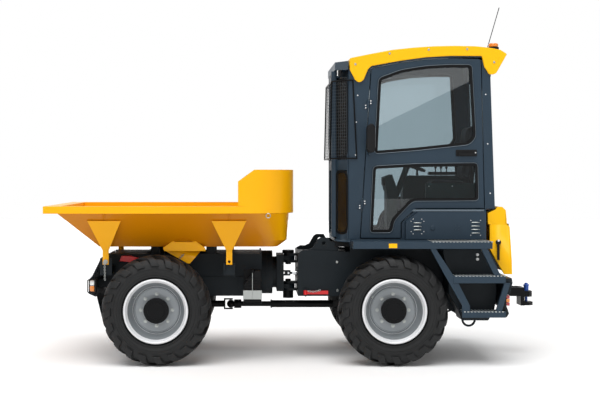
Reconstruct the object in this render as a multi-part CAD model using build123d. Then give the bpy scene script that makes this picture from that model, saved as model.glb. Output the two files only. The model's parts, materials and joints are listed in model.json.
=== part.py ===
from build123d import *
import os
from math import atan2, cos, degrees, hypot, pi, radians, sin

# Articulated wheeled site dumper with a front tipping skip and a closed cab.
# +X points to the tow hitch, -X is the driving direction, +Z is up, and the
# ground under the middle of the machine is the origin. Millimetres throughout.

# ---------------------------------------------------------------- driving sizes
overall_length = 5020
nose_x = -overall_length / 2
tail_x = overall_length / 2
front_axle_x = -1405
rear_axle_x = 940
half_track = 850
skip_half_width = 1050
cab_half_width = 640
steering_x = -75
joint_gap = 0.3
pin_play = 0.05

# wheels
tyre_radius = 545
tyre_width = 420
tread_depth = 42
rim_radius = 318
rim_width = 390
hub_radius = 126
hub_end = 985
axle_end = 740
wheel_disc_y = 868
wheel_disc_thickness = 16
nut_circle_radius = 152
nut_radius = 15
nut_count = 8
axle_z = tyre_radius

# frames
plate = 20
front_frame_half_width = 400
front_frame_bottom = 640
front_frame_top = 1072
rear_frame_half_width = 450
rear_frame_bottom = 643
rear_frame_top = 1117
swivel_z = 858
swivel_radius = 228
swivel_split_x = -302
trunnion_radius = 80

# skip
skip_floor_z = 1160
skip_knee_z = 1225
skip_rim_bottom = 1505
skip_rim_top = 1577
skip_wall = 12
skip_tail_x = -40
skip_floor_front = -2000
skip_floor_rear = -198
skip_floor_half_width = 640
skip_floor_corner = 110
skip_front_at_rim = -2375
skip_rear_at_rim = -85
skip_rear_at_knee = -103
skip_half_width_at_rim = 1005
skip_corner_at_rim = 430
guard_front_x = -597
guard_step_x = -437
guard_step_z = 1822
guard_top_z = 1938
tip_axis_x = -1923
tip_axis_z = 1017
front_leg_width = 330
rear_leg_x = -687
rear_leg_width = 345
leg_top_z = 1430
leg_neck_z = 1130
leg_foot_z = 988
strap_half = 30
strap_thickness = 20
strap_outer_y = 790
lock_pin_radius = 14

# tipping cylinder
ram_x = -1140
ram_trunnion_z = 900
ram_top_z = 1100
ram_foot_z = 606
ram_radius = 85
ram_stage_radius = 68
ram_rod_radius = 50
ram_eye_half = 30
ram_lug_thickness = 20
trunnion_pin_radius = 22
trunnion_reach = 142
top_pin_radius = 12
top_eye_bore = 28

# steering joint and drive line
pivot_pin_radius = 30
fork_ear_radius = 48
link_ear_radius = 70
steering_arm_y = 170
steering_line_y = 157
steering_rod_z = 860
steering_eye_bore = 27
steering_pin_radius = 12
shaft_joint_x = -681
shaft_z = axle_z - 25
shaft_end_x = 400

# cab
cab_floor_z = 1235
cab_wall = 45
cab_front_x = 388
cab_corner_x = 522
cab_front_half_width = 450
cab_top_of_front = 2952
seat_deck_z = 1516
door_gap = 8
door_proud = 8
door_thickness = 45
hinge_y = -660
hinge_low = (656, 1587)
hinge_high = (717, 2600)
window_corner = 42
glass_thickness = 6

# frame details
front_frame_end_x = -378
arm_bottom_z = 880
arm_top_z = 960
support_out_y = strap_outer_y - strap_thickness - 2
support_in_y = support_out_y - plate
lifting_eye_x = 280
lifting_eye_z = 1185
lifting_eye_radius = 20
lock_bar_x = 90
lock_bar_y = -rear_frame_half_width - 24

# steps, mudguards, bumper and hitch
step_outer_y = 1040
sheet = 6
fender_top_z = 1230
fender_skirt_z = 1160
fender_front_x = 533
fender_rear_x = 1900
tread_mid_top = 895
tread_mid_low = 823
tread_low_top = 544
tread_low_low = 485
bumper_x0 = 2030
bumper_x1 = 2107
hitch_pin_x = 2450
hitch_pin_radius = 15
jaw_low = (510, 546)
jaw_high = (600, 660)

# outlines of the cab's side, as (x, z)
door_outline = [(749, 2962), (1047, 3020), (1298, 3052), (1550, 3064), (1839, 3060), (1856, 3040),
                (1889, 1545), (1201, 1545), (1047, 1406), (1047, 1247), (640, 1247)]
upper_window = [(816, 2867), (1047, 2952), (1298, 2992), (1550, 3006), (1768, 3004), (1808, 2263), (1738, 2187),
                (1201, 2129), (775, 2095)]
lower_window = [(762, 1978), (1201, 2003), (1826, 2012), (1835, 1621), (1168, 1617), (984, 1425),
                (958, 1298), (729, 1298)]
side_outline = [(cab_corner_x, 1235), (cab_corner_x, 2952), (737, 3002), (1047, 3056), (1298, 3088), (1550, 3100),
                (1850, 3094), (1928, 3060), (1940, 2900), (1998, 1545), (1907, 1545), (1907, 1235)]
cut_stations = [500, 800, 1200, 1780, 2010]
corner_length = hypot(cab_corner_x - cab_front_x, cab_half_width - cab_front_half_width)
corner_windows = ((1295, 1935), (2040, 2880))

# roof, covers, mirrors and window guard
roof_top = [(528, 3066), (963, 3150), (1382, 3186), (1800, 3186), (2051, 3150), (2118, 3107)]
roof_under = [(528, 2990), (963, 3068), (1382, 3110), (1800, 3112), (2051, 3082), (2100, 3072)]
roof_edge_y = cab_half_width + 30
roof_bolt_points = [(584, 3003), (930, 3112), (1324, 3150), (1713, 3156), (1985, 3023)]
cover_y = 700
handle_x = 1640
mirror_x = 722
mirror_y = 790
mirror_foot_z = 2095
guard_front_low_x = 340
guard_front_high_x = 358
guard_low_z = 2053
guard_high_z = 2842
guard_half_width = 480
guard_tube = 9

# hood
hood_front_x = 1925
hood_hinge_x = 2010
hood_hinge_z = 1548


# ---------------------------------------------------------------- shape helpers
def block(x0, x1, y0, y1, z0, z1):
    """A box between two corners."""
    return Solid.make_box(x1 - x0, y1 - y0, z1 - z0, Plane((x0, y0, z0)))


def polygon(points):
    return Face(Wire.make_polygon([Vector(*p) for p in points], close=True))


def side_plate(outline, y0, y1):
    """An outline of (x, z) points, thick from y0 to y1."""
    return Solid.extrude(polygon([(x, y0, z) for x, z in outline]), Vector(0, y1 - y0, 0))


def level_plate(outline, z0, z1):
    """An outline of (x, y) points, thick from z0 to z1."""
    return Solid.extrude(polygon([(x, y, z0) for x, y in outline]), Vector(0, 0, z1 - z0))


def cross_plate(outline, x0, x1):
    """An outline of (y, z) points, thick from x0 to x1."""
    return Solid.extrude(polygon([(x0, y, z) for y, z in outline]), Vector(x1 - x0, 0, 0))


def bar(start, end, radius):
    """A round bar between two points."""
    start, end = Vector(*start), Vector(*end)
    return Solid.make_cylinder(radius, (end - start).length, Plane(start, z_dir=end - start))


def pipe(start, end, outer, inner):
    return bar(start, end, outer).cut(bar(start, end, inner)).solid()


def ring_solid(profile, x, z):
    """A profile of (radius, y) points turned about the line through (x, z) along Y."""
    face = polygon([(x + r, y, z) for r, y in profile])
    return Solid.revolve(face, 360, Axis((x, 0, z), (0, 1, 0)))


def fused(first, *others):
    whole = first
    for other in others:
        whole = whole.fuse(other)
    return whole.solid()


def less(body, *cutters):
    for cutter in cutters:
        body = body.cut(cutter)
    return body.solid()


def other_side(solids):
    return [s.mirror(Plane.XZ) for s in solids]


def both_sides(solids):
    return list(solids) + other_side(solids)


# ---------------------------------------------------------------- wheels
def wheel(x, side):
    """Tyre, and rim with its disc, nuts and hub, for the wheel at x on side -1 or 1."""
    half = tyre_width / 2
    out = tyre_radius
    inside = out - tread_depth
    bead = rim_radius - 24
    tyre = ring_solid(
        [
            (bead, -half + 38), (rim_radius + 6, -half + 27), (rim_radius + 60, -half + 4),
            (out - 90, -half), (out - 40, -half + 10), (out, -half + 52), (out, half - 52),
            (out - 40, half - 10), (out - 90, half), (rim_radius + 60, half - 4),
            (rim_radius + 6, half - 27), (bead, half - 38), (bead, half - 60),
            (rim_radius + 70, half - 30), (inside - 30, half - 36), (inside, half - 80),
            (inside, -half + 80), (inside - 30, -half + 36), (rim_radius + 70, -half + 30),
            (bead, -half + 60),
        ],
        x, axle_z,
    )
    lip = rim_width / 2
    seat = bead - 0.2
    rim = ring_solid(
        [
            (rim_radius, -lip), (rim_radius, -lip + 10), (seat, -lip + 16), (seat, -lip + 60),
            (seat - 30, -lip + 100), (seat - 30, lip - 100), (seat, lip - 60),
            (seat, lip - 16), (rim_radius, lip - 10), (rim_radius, lip), (seat - 8, lip),
            (seat - 8, lip - 64), (seat - 38, lip - 104), (seat - 38, -lip + 104),
            (seat - 8, -lip + 64), (seat - 8, -lip),
        ],
        x, axle_z,
    )
    moved = Location((0, side * half_track, 0))
    tyre, rim = tyre.moved(moved), rim.moved(moved)
    disc_in = side * wheel_disc_y
    disc_out = side * (wheel_disc_y + wheel_disc_thickness)
    barrel_inside = seat - 38
    disc = bar((x, disc_in, axle_z), (x, disc_out, axle_z), barrel_inside)
    disc = less(disc, bar((x, disc_in, axle_z), (x, disc_out, axle_z), hub_radius))
    hub = fused(
        bar((x, side * (axle_end + joint_gap), axle_z), (x, side * hub_end, axle_z), hub_radius),
        bar((x, side * (wheel_disc_y - 24), axle_z), (x, disc_in, axle_z), nut_circle_radius + 26),
    )
    nuts = []
    for i in range(nut_count):
        a = 2 * pi * i / nut_count
        nx, nz = x + nut_circle_radius * cos(a), axle_z + nut_circle_radius * sin(a)
        nuts.append(bar((nx, disc_out, nz), (nx, disc_out + side * 24, nz), nut_radius))
    return tyre, [rim, disc, hub] + nuts


# ---------------------------------------------------------------- skip
def skip_plan(front, rear, half_width, corner):
    """Level outline, square in front and rounded behind, as (start, middle, end) stretches."""
    c = corner * (1 - cos(radians(45)))
    m = corner * (1 - cos(radians(67.5))), corner * (1 - sin(radians(67.5)))
    stretches = [((front, -half_width), None, (rear - corner, -half_width))]
    a = (rear - corner, -half_width)
    b = (rear - c, -half_width + c)
    d = (rear, -half_width + corner)
    ab = (rear - m[0], -half_width + m[1])
    bd = (rear - m[1], -half_width + m[0])
    stretches += [(a, ab, b), (b, bd, d)]
    stretches.append((d, None, (rear, half_width - corner)))
    mirrored = [(flip(e), flip(w) if w else None, flip(s)) for s, w, e in stretches[2::-1]]
    stretches += mirrored
    stretches.append(((front, half_width), None, (front, -half_width)))
    return stretches


def flip(p):
    return (p[0], -p[1])


def edge_at(stretch, z, backwards=False):
    s, w, e = stretch
    if backwards:
        s, e = e, s
    if w is None:
        return Edge.make_line((*s, z), (*e, z))
    return Edge.make_three_point_arc((*s, z), (*w, z), (*e, z))


def wall_section(outer, inner, z):
    """Level slice through one stretch of wall."""
    return Wire([
        edge_at(outer, z), Edge.make_line((*outer[2], z), (*inner[2], z)),
        edge_at(inner, z, True), Edge.make_line((*inner[0], z), (*outer[0], z)),
    ])


def wall_stretch(low, low_inner, z0, high, high_inner, z1):
    """One stretch of a wall that runs from z0 up to z1."""
    return Solid.make_loft([wall_section(low, low_inner, z0), wall_section(high, high_inner, z1)], True)


def skip_levels():
    """Outer sizes of the body at the floor, the knee and the rim."""
    share = (skip_knee_z - skip_floor_z) / (skip_rim_bottom - skip_floor_z)
    tangent_floor = skip_floor_rear - skip_floor_corner
    tangent_rim = skip_rear_at_rim - skip_corner_at_rim
    tangent_knee = tangent_floor + share * (tangent_rim - tangent_floor)
    knee = (
        skip_floor_front + share * (skip_front_at_rim - skip_floor_front), skip_rear_at_knee,
        skip_floor_half_width + share * (skip_half_width_at_rim - skip_floor_half_width),
        skip_rear_at_knee - tangent_knee,
    )
    floor = (skip_floor_front, skip_floor_rear, skip_floor_half_width, skip_floor_corner)
    rim = (skip_front_at_rim, skip_rear_at_rim, skip_half_width_at_rim, skip_corner_at_rim)
    return floor, knee, rim


def shrunk(level, by):
    front, rear, half_width, corner = level
    return front + by, rear - by, half_width - by, corner - by


def skip_body():
    """Floor, sloping walls, box rim and the raised spill guard at the cab end."""
    floor, knee, rim = skip_levels()
    w = skip_wall
    low, mid, top = skip_plan(*floor), skip_plan(*knee), skip_plan(*rim)
    low_in, mid_in, top_in = [skip_plan(*shrunk(level, w)) for level in (floor, knee, rim)]
    walls = []
    for i in range(len(low)):
        walls.append(wall_stretch(low[i], low_in[i], skip_floor_z, mid[i], mid_in[i], skip_knee_z))
        walls.append(wall_stretch(mid[i], mid_in[i], skip_knee_z, top[i], top_in[i], skip_rim_bottom))
    base = Solid.extrude(Face(Wire([edge_at(s, skip_floor_z) for s in low_in])), Vector(0, 0, w))
    rim_outer = skip_plan(nose_x, skip_tail_x, skip_half_width, skip_corner_at_rim + 45)
    rims = [wall_stretch(rim_outer[i], top_in[i], skip_rim_bottom, rim_outer[i], top_in[i], skip_rim_top)
            for i in range(len(top_in))]
    guard_in = skip_plan(nose_x + w, skip_tail_x - w, skip_half_width - w, skip_corner_at_rim + 45 - w)
    kept = side_plate(
        [
            (guard_front_x, skip_rim_top), (guard_front_x, guard_step_z),
            (guard_step_x, guard_top_z), (skip_tail_x, guard_top_z), (skip_tail_x, skip_rim_top),
        ],
        -skip_half_width, skip_half_width,
    )
    guards = []
    for i in range(6):
        wall = wall_stretch(rim_outer[i], guard_in[i], skip_rim_top, rim_outer[i], guard_in[i], guard_top_z)
        guards += wall.intersect(kept).solids()
    return walls + [base] + rims + guards


def skip_side_y(z):
    """Half width of the skip's outer flank at height z."""
    share = (z - skip_floor_z) / (skip_rim_bottom - skip_floor_z)
    return skip_floor_half_width + share * (skip_half_width_at_rim - skip_floor_half_width)


def skip_leg(x, top_width, play):
    """Flared leg under the rim, ending in a strap with its lock-pin hole, and the rib behind it."""
    y_out, t = -strap_outer_y, strap_thickness
    top_y = -skip_side_y(leg_top_z)
    strap = block(x - strap_half, x + strap_half, y_out, y_out + t, leg_foot_z, leg_neck_z)
    strap = less(strap, bar((x, y_out - 1, tip_axis_z), (x, y_out + t + 1, tip_axis_z), lock_pin_radius + play))
    flare_low = Wire.make_polygon([
        (x - strap_half, y_out, leg_neck_z), (x + strap_half, y_out, leg_neck_z),
        (x + strap_half, y_out + t, leg_neck_z), (x - strap_half, y_out + t, leg_neck_z),
    ], close=True)
    half = top_width / 2
    flare_high = Wire.make_polygon([
        (x - half, top_y - t, leg_top_z), (x + half, top_y - t, leg_top_z),
        (x + half, top_y, leg_top_z), (x - half, top_y, leg_top_z),
    ], close=True)
    flare = Solid.make_loft([flare_low, flare_high], True)
    rib = cross_plate(
        [
            (y_out + t, leg_neck_z), (top_y, leg_top_z), (-skip_half_width_at_rim, skip_rim_bottom),
            (-skip_side_y(skip_floor_z + 5), skip_floor_z + 5), (-skip_floor_half_width - 25, leg_neck_z + 12),
        ],
        x - 8, x + 8,
    )
    cap = cross_plate(
        [(top_y, leg_top_z), (-skip_half_width + 15, skip_rim_bottom), (-skip_half_width_at_rim, skip_rim_bottom)],
        x - 8, x + 8,
    )
    return [strap, flare, rib, cap]


def skip_cheek():
    """Folded diamond-shaped guide plate on the skip's lower edge, over the wheel."""
    y, apex_z, tip_z = -skip_floor_half_width, 1257, 991
    left, right, apex_x, tip_x = -1357, -938, -1150, -1097
    apex_y = -skip_side_y(apex_z)
    low = polygon([(left, y, skip_floor_z), (right, y, skip_floor_z), (apex_x, apex_y, apex_z)])
    upper = Solid.extrude(low, Vector(0, -8, 0))
    lower = side_plate(
        [(left, skip_floor_z), (right, skip_floor_z), (tip_x + 12, tip_z), (tip_x - 12, tip_z), (left, 1128)],
        y - 8, y,
    )
    return [upper, lower]


def ram_lugs():
    """Fork under the floor, with the cross pin that the tipping cylinder pushes on."""
    inner, outer = ram_eye_half + 12, ram_eye_half + 12 + ram_lug_thickness
    lug = fused(
        block(ram_x - 30, ram_x + 30, -outer, -inner, ram_top_z, skip_floor_z),
        bar((ram_x, -outer, ram_top_z), (ram_x, -inner, ram_top_z), 30),
    )
    return both_sides([lug]) + [bar((ram_x, -inner, ram_top_z), (ram_x, inner, ram_top_z), top_pin_radius)]


def skip_brackets():
    solids = skip_leg(tip_axis_x, front_leg_width, pin_play) + skip_leg(rear_leg_x, rear_leg_width, 0)
    return both_sides(solids + skip_cheek()) + ram_lugs()


# ---------------------------------------------------------------- front frame
def front_chassis():
    w, t = front_frame_half_width, plate
    bottom, top, end = front_frame_bottom, front_frame_top, front_frame_end_x
    inner = w - t
    side = side_plate([(-1960, 720), (-1960, 1030), (-1910, top), (end, top), (end, bottom), (-1850, bottom)],
                      -w, -inner)
    solids = both_sides([side]) + [
        block(-1900, -1560, -inner, inner, top - t, top),
        block(-880, end, -inner, inner, top - t, top),
        block(-1960, -1940, -inner, inner, 740, 1020),
        block(-1580, -1560, -inner, inner, bottom, top - t),
        block(-880, -860, -inner, inner, bottom + 16, top - t),
        block(-880, end, -inner, inner, bottom, bottom + 16),
    ]
    end_plate = less(
        cross_plate([(-w, 630), (w, 630), (w, 1086), (-w, 1086)], end, end + t),
        bar((end - 1, 0, swivel_z), (end + t + 1, 0, swivel_z), trunnion_radius),
    )
    solids.append(end_plate)
    arms = []
    for x in (tip_axis_x, rear_leg_x):
        arms.append(block(x - 45, x + 45, -support_in_y, -w, arm_bottom_z, arm_top_z))
    hinge_plate = block(tip_axis_x - 60, tip_axis_x + 60, -support_out_y, -support_in_y, arm_bottom_z, 1050)
    hinge_plate = less(hinge_plate, bar((tip_axis_x, -support_out_y - 1, tip_axis_z),
                                        (tip_axis_x, -support_in_y + 1, tip_axis_z), lock_pin_radius))
    rest_plate = block(rear_leg_x - 58, rear_leg_x + 58, -support_out_y, -support_in_y, arm_bottom_z, 1000)
    cheeks = [block(rear_leg_x + s * 50 - 8, rear_leg_x + s * 50 + 8, -support_out_y - 30, -support_out_y, 930, 1000)
              for s in (-1, 1)]
    web = side_plate([(-790, bottom + 20), (-742, arm_bottom_z), (-632, arm_bottom_z), (-585, bottom + 20)],
                     -w - 16, -w)
    solids += both_sides(arms + [hinge_plate, rest_plate, web] + cheeks)
    for x in (-1500, -930):
        solids += both_sides([block(x, x + 90, -inner, -inner + 60, top - 60, skip_floor_z - joint_gap)])
    y0, y1 = -trunnion_reach, -trunnion_reach + 30
    lug = less(block(ram_x - 45, ram_x + 45, y0, y1, ram_trunnion_z - 40, ram_trunnion_z + 40),
               bar((ram_x, y0 - 1, ram_trunnion_z), (ram_x, y1 + 1, ram_trunnion_z),
                   trunnion_pin_radius + pin_play))
    web = block(ram_x - 45, ram_x + 45, -inner, y0, ram_trunnion_z - 40, ram_trunnion_z + 40)
    return solids + both_sides([lug, web])


def lock_pins():
    """Front hinge pins, pushed through legs and frame, on which the skip tips."""
    x, z = tip_axis_x, tip_axis_z
    pin = fused(bar((x, -support_in_y, z), (x, -strap_outer_y - 16, z), lock_pin_radius),
                bar((x, -strap_outer_y - 2, z), (x, -strap_outer_y - 14, z), 23))
    return both_sides([pin])


def swivel_ring():
    """Bearing ring of the oscillating joint, its retaining disc and its ring of bolts."""
    end = front_frame_end_x
    ring = pipe((end + plate, 0, swivel_z), (swivel_split_x, 0, swivel_z), swivel_radius, trunnion_radius)
    bolts = []
    for i in range(12):
        a = 2 * pi * (i + 0.5) / 12
        y, z = (swivel_radius - 24) * cos(a), swivel_z + (swivel_radius - 24) * sin(a)
        bolts.append(bar((end - 12, y, z), (end, y, z), 13))
    return [ring] + bolts


def front_bumper():
    """Folded bumper sheet as one flat panel for each fold, with its skirt, stays and lamp arms."""
    half = cab_half_width
    folds = [(-2040, 652), (-2112, 684), (-2112, 824), (-2075, 865), (-1984, 1050)]
    backs = [(-2036, 668), (-2094, 694), (-2094, 816), (-2060, 856), (-1970, 1044)]
    panels = [side_plate([a, b, d, c], -half, half) for a, b, c, d in zip(folds, folds[1:], backs, backs[1:])]
    skirt = side_plate([(-2040, 652), (-2036, 668), (-1950, 352), (-1966, 348)], -560, 560)
    stays = both_sides([block(-2094, -1960, -front_frame_half_width, -front_frame_half_width + plate, 730, 816)])
    arms = both_sides([block(-2080, -2040, -664, -half, 700, 840)])
    return panels + [skirt] + stays + arms


def front_lamps():
    body = block(-2040, -2018, -760, -664, 712, 830)
    clear = block(-2086, -2040, -756, -664, 775, 826)
    amber = block(-2086, -2040, -756, -664, 716, 771)
    return both_sides([body, clear, amber])


def skip_prop():
    """Safety strut for work under the raised skip, stowed on the frame's flank."""
    w = front_frame_half_width
    outline = [(-1819, 1000), (-1800, 1054), (-1700, 1054), (-1541, 1010), (-1541, 957), (-1700, 990)]
    return [side_plate(outline, -w - 50, -w)]


def wheel_chock():
    """Rubber chock in its galvanised cradle on the frame's flank."""
    w = front_frame_half_width
    arm = block(-480, -430, -612, -w, 700, 760)
    back = block(-544, -364, -624, -612, 590, 930)
    shelf = block(-548, -360, -766, -624, 590, 600)
    lip = block(-548, -360, -774, -766, 590, 640)
    wedge = side_plate([(-540, 600), (-368, 600), (-368, 925), (-430, 925), (-540, 790)], -764, -626)
    return [arm, back, shelf, lip, wedge]


# ---------------------------------------------------------------- tipping cylinder
def ram_parts():
    x, r = ram_x, ram_radius
    low, mouth = ram_foot_z, 1030
    tube = less(bar((x, 0, low), (x, 0, mouth), r),
                bar((x, 0, low + 16), (x, 0, mouth), ram_stage_radius + joint_gap))
    studs = [bar((x, s * (r - 6), ram_trunnion_z), (x, s * trunnion_reach, ram_trunnion_z), trunnion_pin_radius)
             for s in (-1, 1)]
    barrel = fused(tube, *studs)
    stage = less(bar((x, 0, low + 20), (x, 0, mouth + 14), ram_stage_radius),
                 bar((x, 0, low + 34), (x, 0, mouth + 14), ram_rod_radius + joint_gap))
    stem = bar((x, 0, low + 38), (x, 0, ram_top_z - 40), ram_rod_radius)
    eye = bar((x, -ram_eye_half, ram_top_z), (x, ram_eye_half, ram_top_z), top_eye_bore + 16)
    rod = less(fused(stem, eye), bar((x, -60, ram_top_z), (x, 60, ram_top_z), top_eye_bore))
    return barrel, stage, rod


# ---------------------------------------------------------------- steering joint
def ear(x_from, half_width, z0, z1):
    """Ear with a round end and a bore at the steering pivot."""
    body = fused(
        block(min(x_from, steering_x), max(x_from, steering_x), -half_width, half_width, z0, z1),
        bar((steering_x, 0, z0), (steering_x, 0, z1), half_width),
    )
    return less(body, bar((steering_x, 0, z0 - 1), (steering_x, 0, z1 + 1), pivot_pin_radius + pin_play))


def centre_link():
    end = front_frame_end_x
    start = swivel_split_x + joint_gap
    flange = bar((start, 0, swivel_z), (-243, 0, swivel_z), swivel_radius)
    shaft = bar((end - 14, 0, swivel_z), (start, 0, swivel_z), trunnion_radius - pin_play)
    keeper = bar((end - 14, 0, swivel_z), (end - joint_gap, 0, swivel_z), trunnion_radius + 25)
    neck = bar((-243, 0, swivel_z), (-200, 0, swivel_z), 165)
    slab = block(-200, -126, -190, 190, 669, 1052)
    solids = [flange, fused(shaft, keeper), neck, slab]
    for z0, z1 in ((985, 1030), (690, 735)):
        solids.append(ear(-126, link_ear_radius, z0, z1))
    y, z = -steering_arm_y, steering_rod_z
    for low in (z - 28, z + 12):
        solids.append(fused(block(-126, steering_x, y - 20, y + 20, low, low + 16),
                            bar((steering_x, y, low), (steering_x, y, low + 16), 20)))
    solids.append(bar((steering_x, y, z - 12), (steering_x, y, z + 12), steering_pin_radius))
    return solids


def steering_cylinder():
    y, z = -steering_line_y, steering_rod_z
    tube = less(bar((70, y, z), (400, y, z), 38), bar((70, y, z), (384, y, z), 20 + joint_gap))
    eye = bar((steering_x, y, z - 11), (steering_x, y, z + 11), 42)
    neck = block(steering_x + 20, steering_x + 52, y - 16, y + 16, z - 11, z + 11)
    stem = bar((steering_x + 50, y, z), (230, y, z), 20)
    rod = less(fused(eye, neck, stem), bar((steering_x, y, z - 20), (steering_x, y, z + 20), steering_eye_bore))
    return tube, rod


# ---------------------------------------------------------------- rear frame
def rear_chassis():
    w, t = rear_frame_half_width, plate
    bottom, top = rear_frame_bottom, rear_frame_top
    inner = w - t
    deck_top = 1175
    side = side_plate([(14, bottom), (14, 1085), (70, top), (300, 1108), (548, 1096), (548, bottom)], -w, -inner)
    side_middle = block(548, 1300, -w, -inner, bottom, deck_top)
    side_rear = side_plate([(1300, bottom), (1300, deck_top), (1880, deck_top), (1920, 900), (1920, 500),
                            (1640, 460)], -w, -inner)
    x0, x1 = 14, 34
    walls = [
        block(x0, x1, -inner, inner, 925, 1085), block(x0, x1, -inner, inner, bottom, 795),
        block(x0, x1, -60, 60, 795, 925), block(x0, x1, -inner, -300, 795, 925),
        block(x0, x1, 300, inner, 795, 925),
    ]
    forks = [ear(x0, fork_ear_radius, z0, z1) for z0, z1 in ((1032, 1057), (958, 983), (737, 762), (663, 688))]
    decks = [
        block(x1, 548, -inner, inner, 1060, 1076), block(x1, 430, -inner, inner, bottom, bottom + 16),
        block(548, 1880, -inner, inner, deck_top - 16, deck_top), block(1900, 1920, -inner, inner, 520, 880),
        block(1650, 1900, -inner, inner, 500, 516),
    ]
    y, z = -steering_line_y, steering_rod_z
    saddle = less(block(340, 360, y - 60, y + 60, z - 70, z + 70), bar((339, y, z), (361, y, z), 38.3))
    post = block(340, 360, y - 60, y + 60, bottom + 16, z - 70)
    mounts = [bar((x, s * 400, deck_top), (x, s * 400, cab_floor_z - 30), 45) for x in (640, 1780) for s in (-1, 1)]
    ears = [less(
        side_plate([(110, 1076), (110, 1112), (165, 1136), (215, 1222), (245, 1241), (325, 1241), (350, 1200),
                    (425, 1200), (425, 1076)], y0, y0 + t),
        bar((lifting_eye_x, y0 - 1, lifting_eye_z), (lifting_eye_x, y0 + t + 1, lifting_eye_z), lifting_eye_radius))
        for y0 in (-inner, inner - t)]
    return both_sides([side, side_middle, side_rear]) + walls + forks + decks + [saddle, post] + mounts + ears


def articulation_pins():
    upper = fused(bar((steering_x, 0, 940), (steering_x, 0, 1091), pivot_pin_radius),
                  bar((steering_x, 0, 1057), (steering_x, 0, 1091), 62))
    lower = fused(bar((steering_x, 0, 585), (steering_x, 0, 785), pivot_pin_radius),
                  bar((steering_x, 0, 585), (steering_x, 0, 663), 55))
    return [upper, lower]


def lock_bar():
    """Bar that locks the steering joint for transport, swung back against the frame."""
    y = lock_bar_y
    strap = block(lock_bar_x, 321, y - 7, y + 7, 664, 700)
    eye = bar((lock_bar_x, y, 660), (lock_bar_x, y, 704), 20)
    return [less(fused(strap, eye), bar((lock_bar_x, y, 650), (lock_bar_x, y, 710), 9 + pin_play))]


def lock_bar_pivot():
    y = lock_bar_y
    lugs = [less(block(lock_bar_x - 20, lock_bar_x + 20, y - 16, -rear_frame_half_width, z0, z0 + 11),
                 bar((lock_bar_x, y, z0 - 1), (lock_bar_x, y, z0 + 12), 9)) for z0 in (648, 705)]
    return [bar((lock_bar_x, y, 640), (lock_bar_x, y, 724), 9)] + lugs


# ---------------------------------------------------------------- drive line
def front_coupling():
    """Pinion stub and the fork that carries the universal joint."""
    x, z = shaft_joint_x, shaft_z
    pinion_end = front_axle_x + 330
    stub = fused(bar((pinion_end, 0, z), (x - 60, 0, z), 34), bar((pinion_end, 0, z), (pinion_end + 40, 0, z), 62))
    jaws = [block(x - 60, x + 20, -16, 16, z + 44, z + 58), block(x - 60, x + 20, -16, 16, z - 58, z - 44)]
    return [stub, bar((x - 75, 0, z), (x - 60, 0, z), 60)] + jaws


def joint_cross():
    """Cross of the universal joint, between its fork and the shaft."""
    x, z = shaft_joint_x, shaft_z
    post = bar((x, 0, z - 44 + joint_gap), (x, 0, z + 44 - joint_gap), 14)
    return [fused(post, bar((x, 0, z), (x + 60, 0, z), 20))]


def drive_shaft():
    x, z = shaft_joint_x, shaft_z
    collar = less(bar((x + 34, 0, z), (x + 110, 0, z), 46), bar((x + 34, 0, z), (x + 62, 0, z), 20 + pin_play))
    cups = [bar((x + 84, s * 40, z), (x + 84, s * 58, z), 17) for s in (-1, 1)]
    spline = bar((x + 110, 0, z), (-240, 0, z), 27)
    tube = bar((-246, 0, z), (shaft_end_x, 0, z), 38)
    return [fused(collar, spline, bar((-262, 0, z), (-246, 0, z), 44), tube, *cups)]


def axle(x, nose_reach):
    """Beam axle with its drums and differential; the nose runs nose_reach along X."""
    flange_y = axle_end - 110
    belly = Solid.make_sphere(165, Plane((x, 0, axle_z)), -90, 90, 360)
    beams = [bar((x, 0, axle_z), (x, s * flange_y, axle_z), 72).cut(belly).solid() for s in (-1, 1)]
    drums = [bar((x, s * flange_y, axle_z), (x, s * axle_end, axle_z), 150) for s in (-1, 1)]
    nose = bar((x, 0, shaft_z), (x + nose_reach, 0, shaft_z), 70).cut(belly).solid()
    return [belly, nose] + beams + drums


def axle_pads(x, half_width, frame_z):
    """Clamp blocks between the axle beam and the frame rails."""
    pad = less(block(x - 80, x + 80, -half_width, -half_width + 60, axle_z, frame_z),
               bar((x, -half_width - 1, axle_z), (x, -half_width + 61, axle_z), 72))
    return both_sides([pad])


def engine():
    """Engine, its radiator and fan, and the gearbox behind the rear axle's pinion."""
    x = 1240
    block_ = block(x, 1800, -260, 260, 640, 1000)
    sump = block(x + 60, 1740, -180, 180, 560, 640)
    head = block(x + 50, 1760, -170, 170, 1000, 1110)
    fan = bar((1800, 0, 830), (1830, 0, 830), 200)
    radiator = block(1840, 1890, -330, 330, 580, 1110)
    feet = both_sides([block(x + 60 + d, x + 140 + d, -rear_frame_half_width + plate, -260, 700, 740)
                       for d in (0, 340)])
    shroud = block(1830, 1840, -210, 210, 620, 1040)
    box_end = rear_axle_x - 240
    gear_case = block(box_end - 160, box_end, -150, 150, 430, 900)
    flange = bar((470, 0, shaft_z), (box_end - 160, 0, shaft_z), 60)
    motor = bar((box_end - 160 - 90, 0, 790), (box_end - 160, 0, 790), 90)
    carrier = both_sides([block(box_end - 140, box_end - 20, -rear_frame_half_width + plate, -150, 700, 740)])
    return [block_, sump, head, fan, shroud, radiator, gear_case, flange, motor] + feet + carrier


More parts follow.
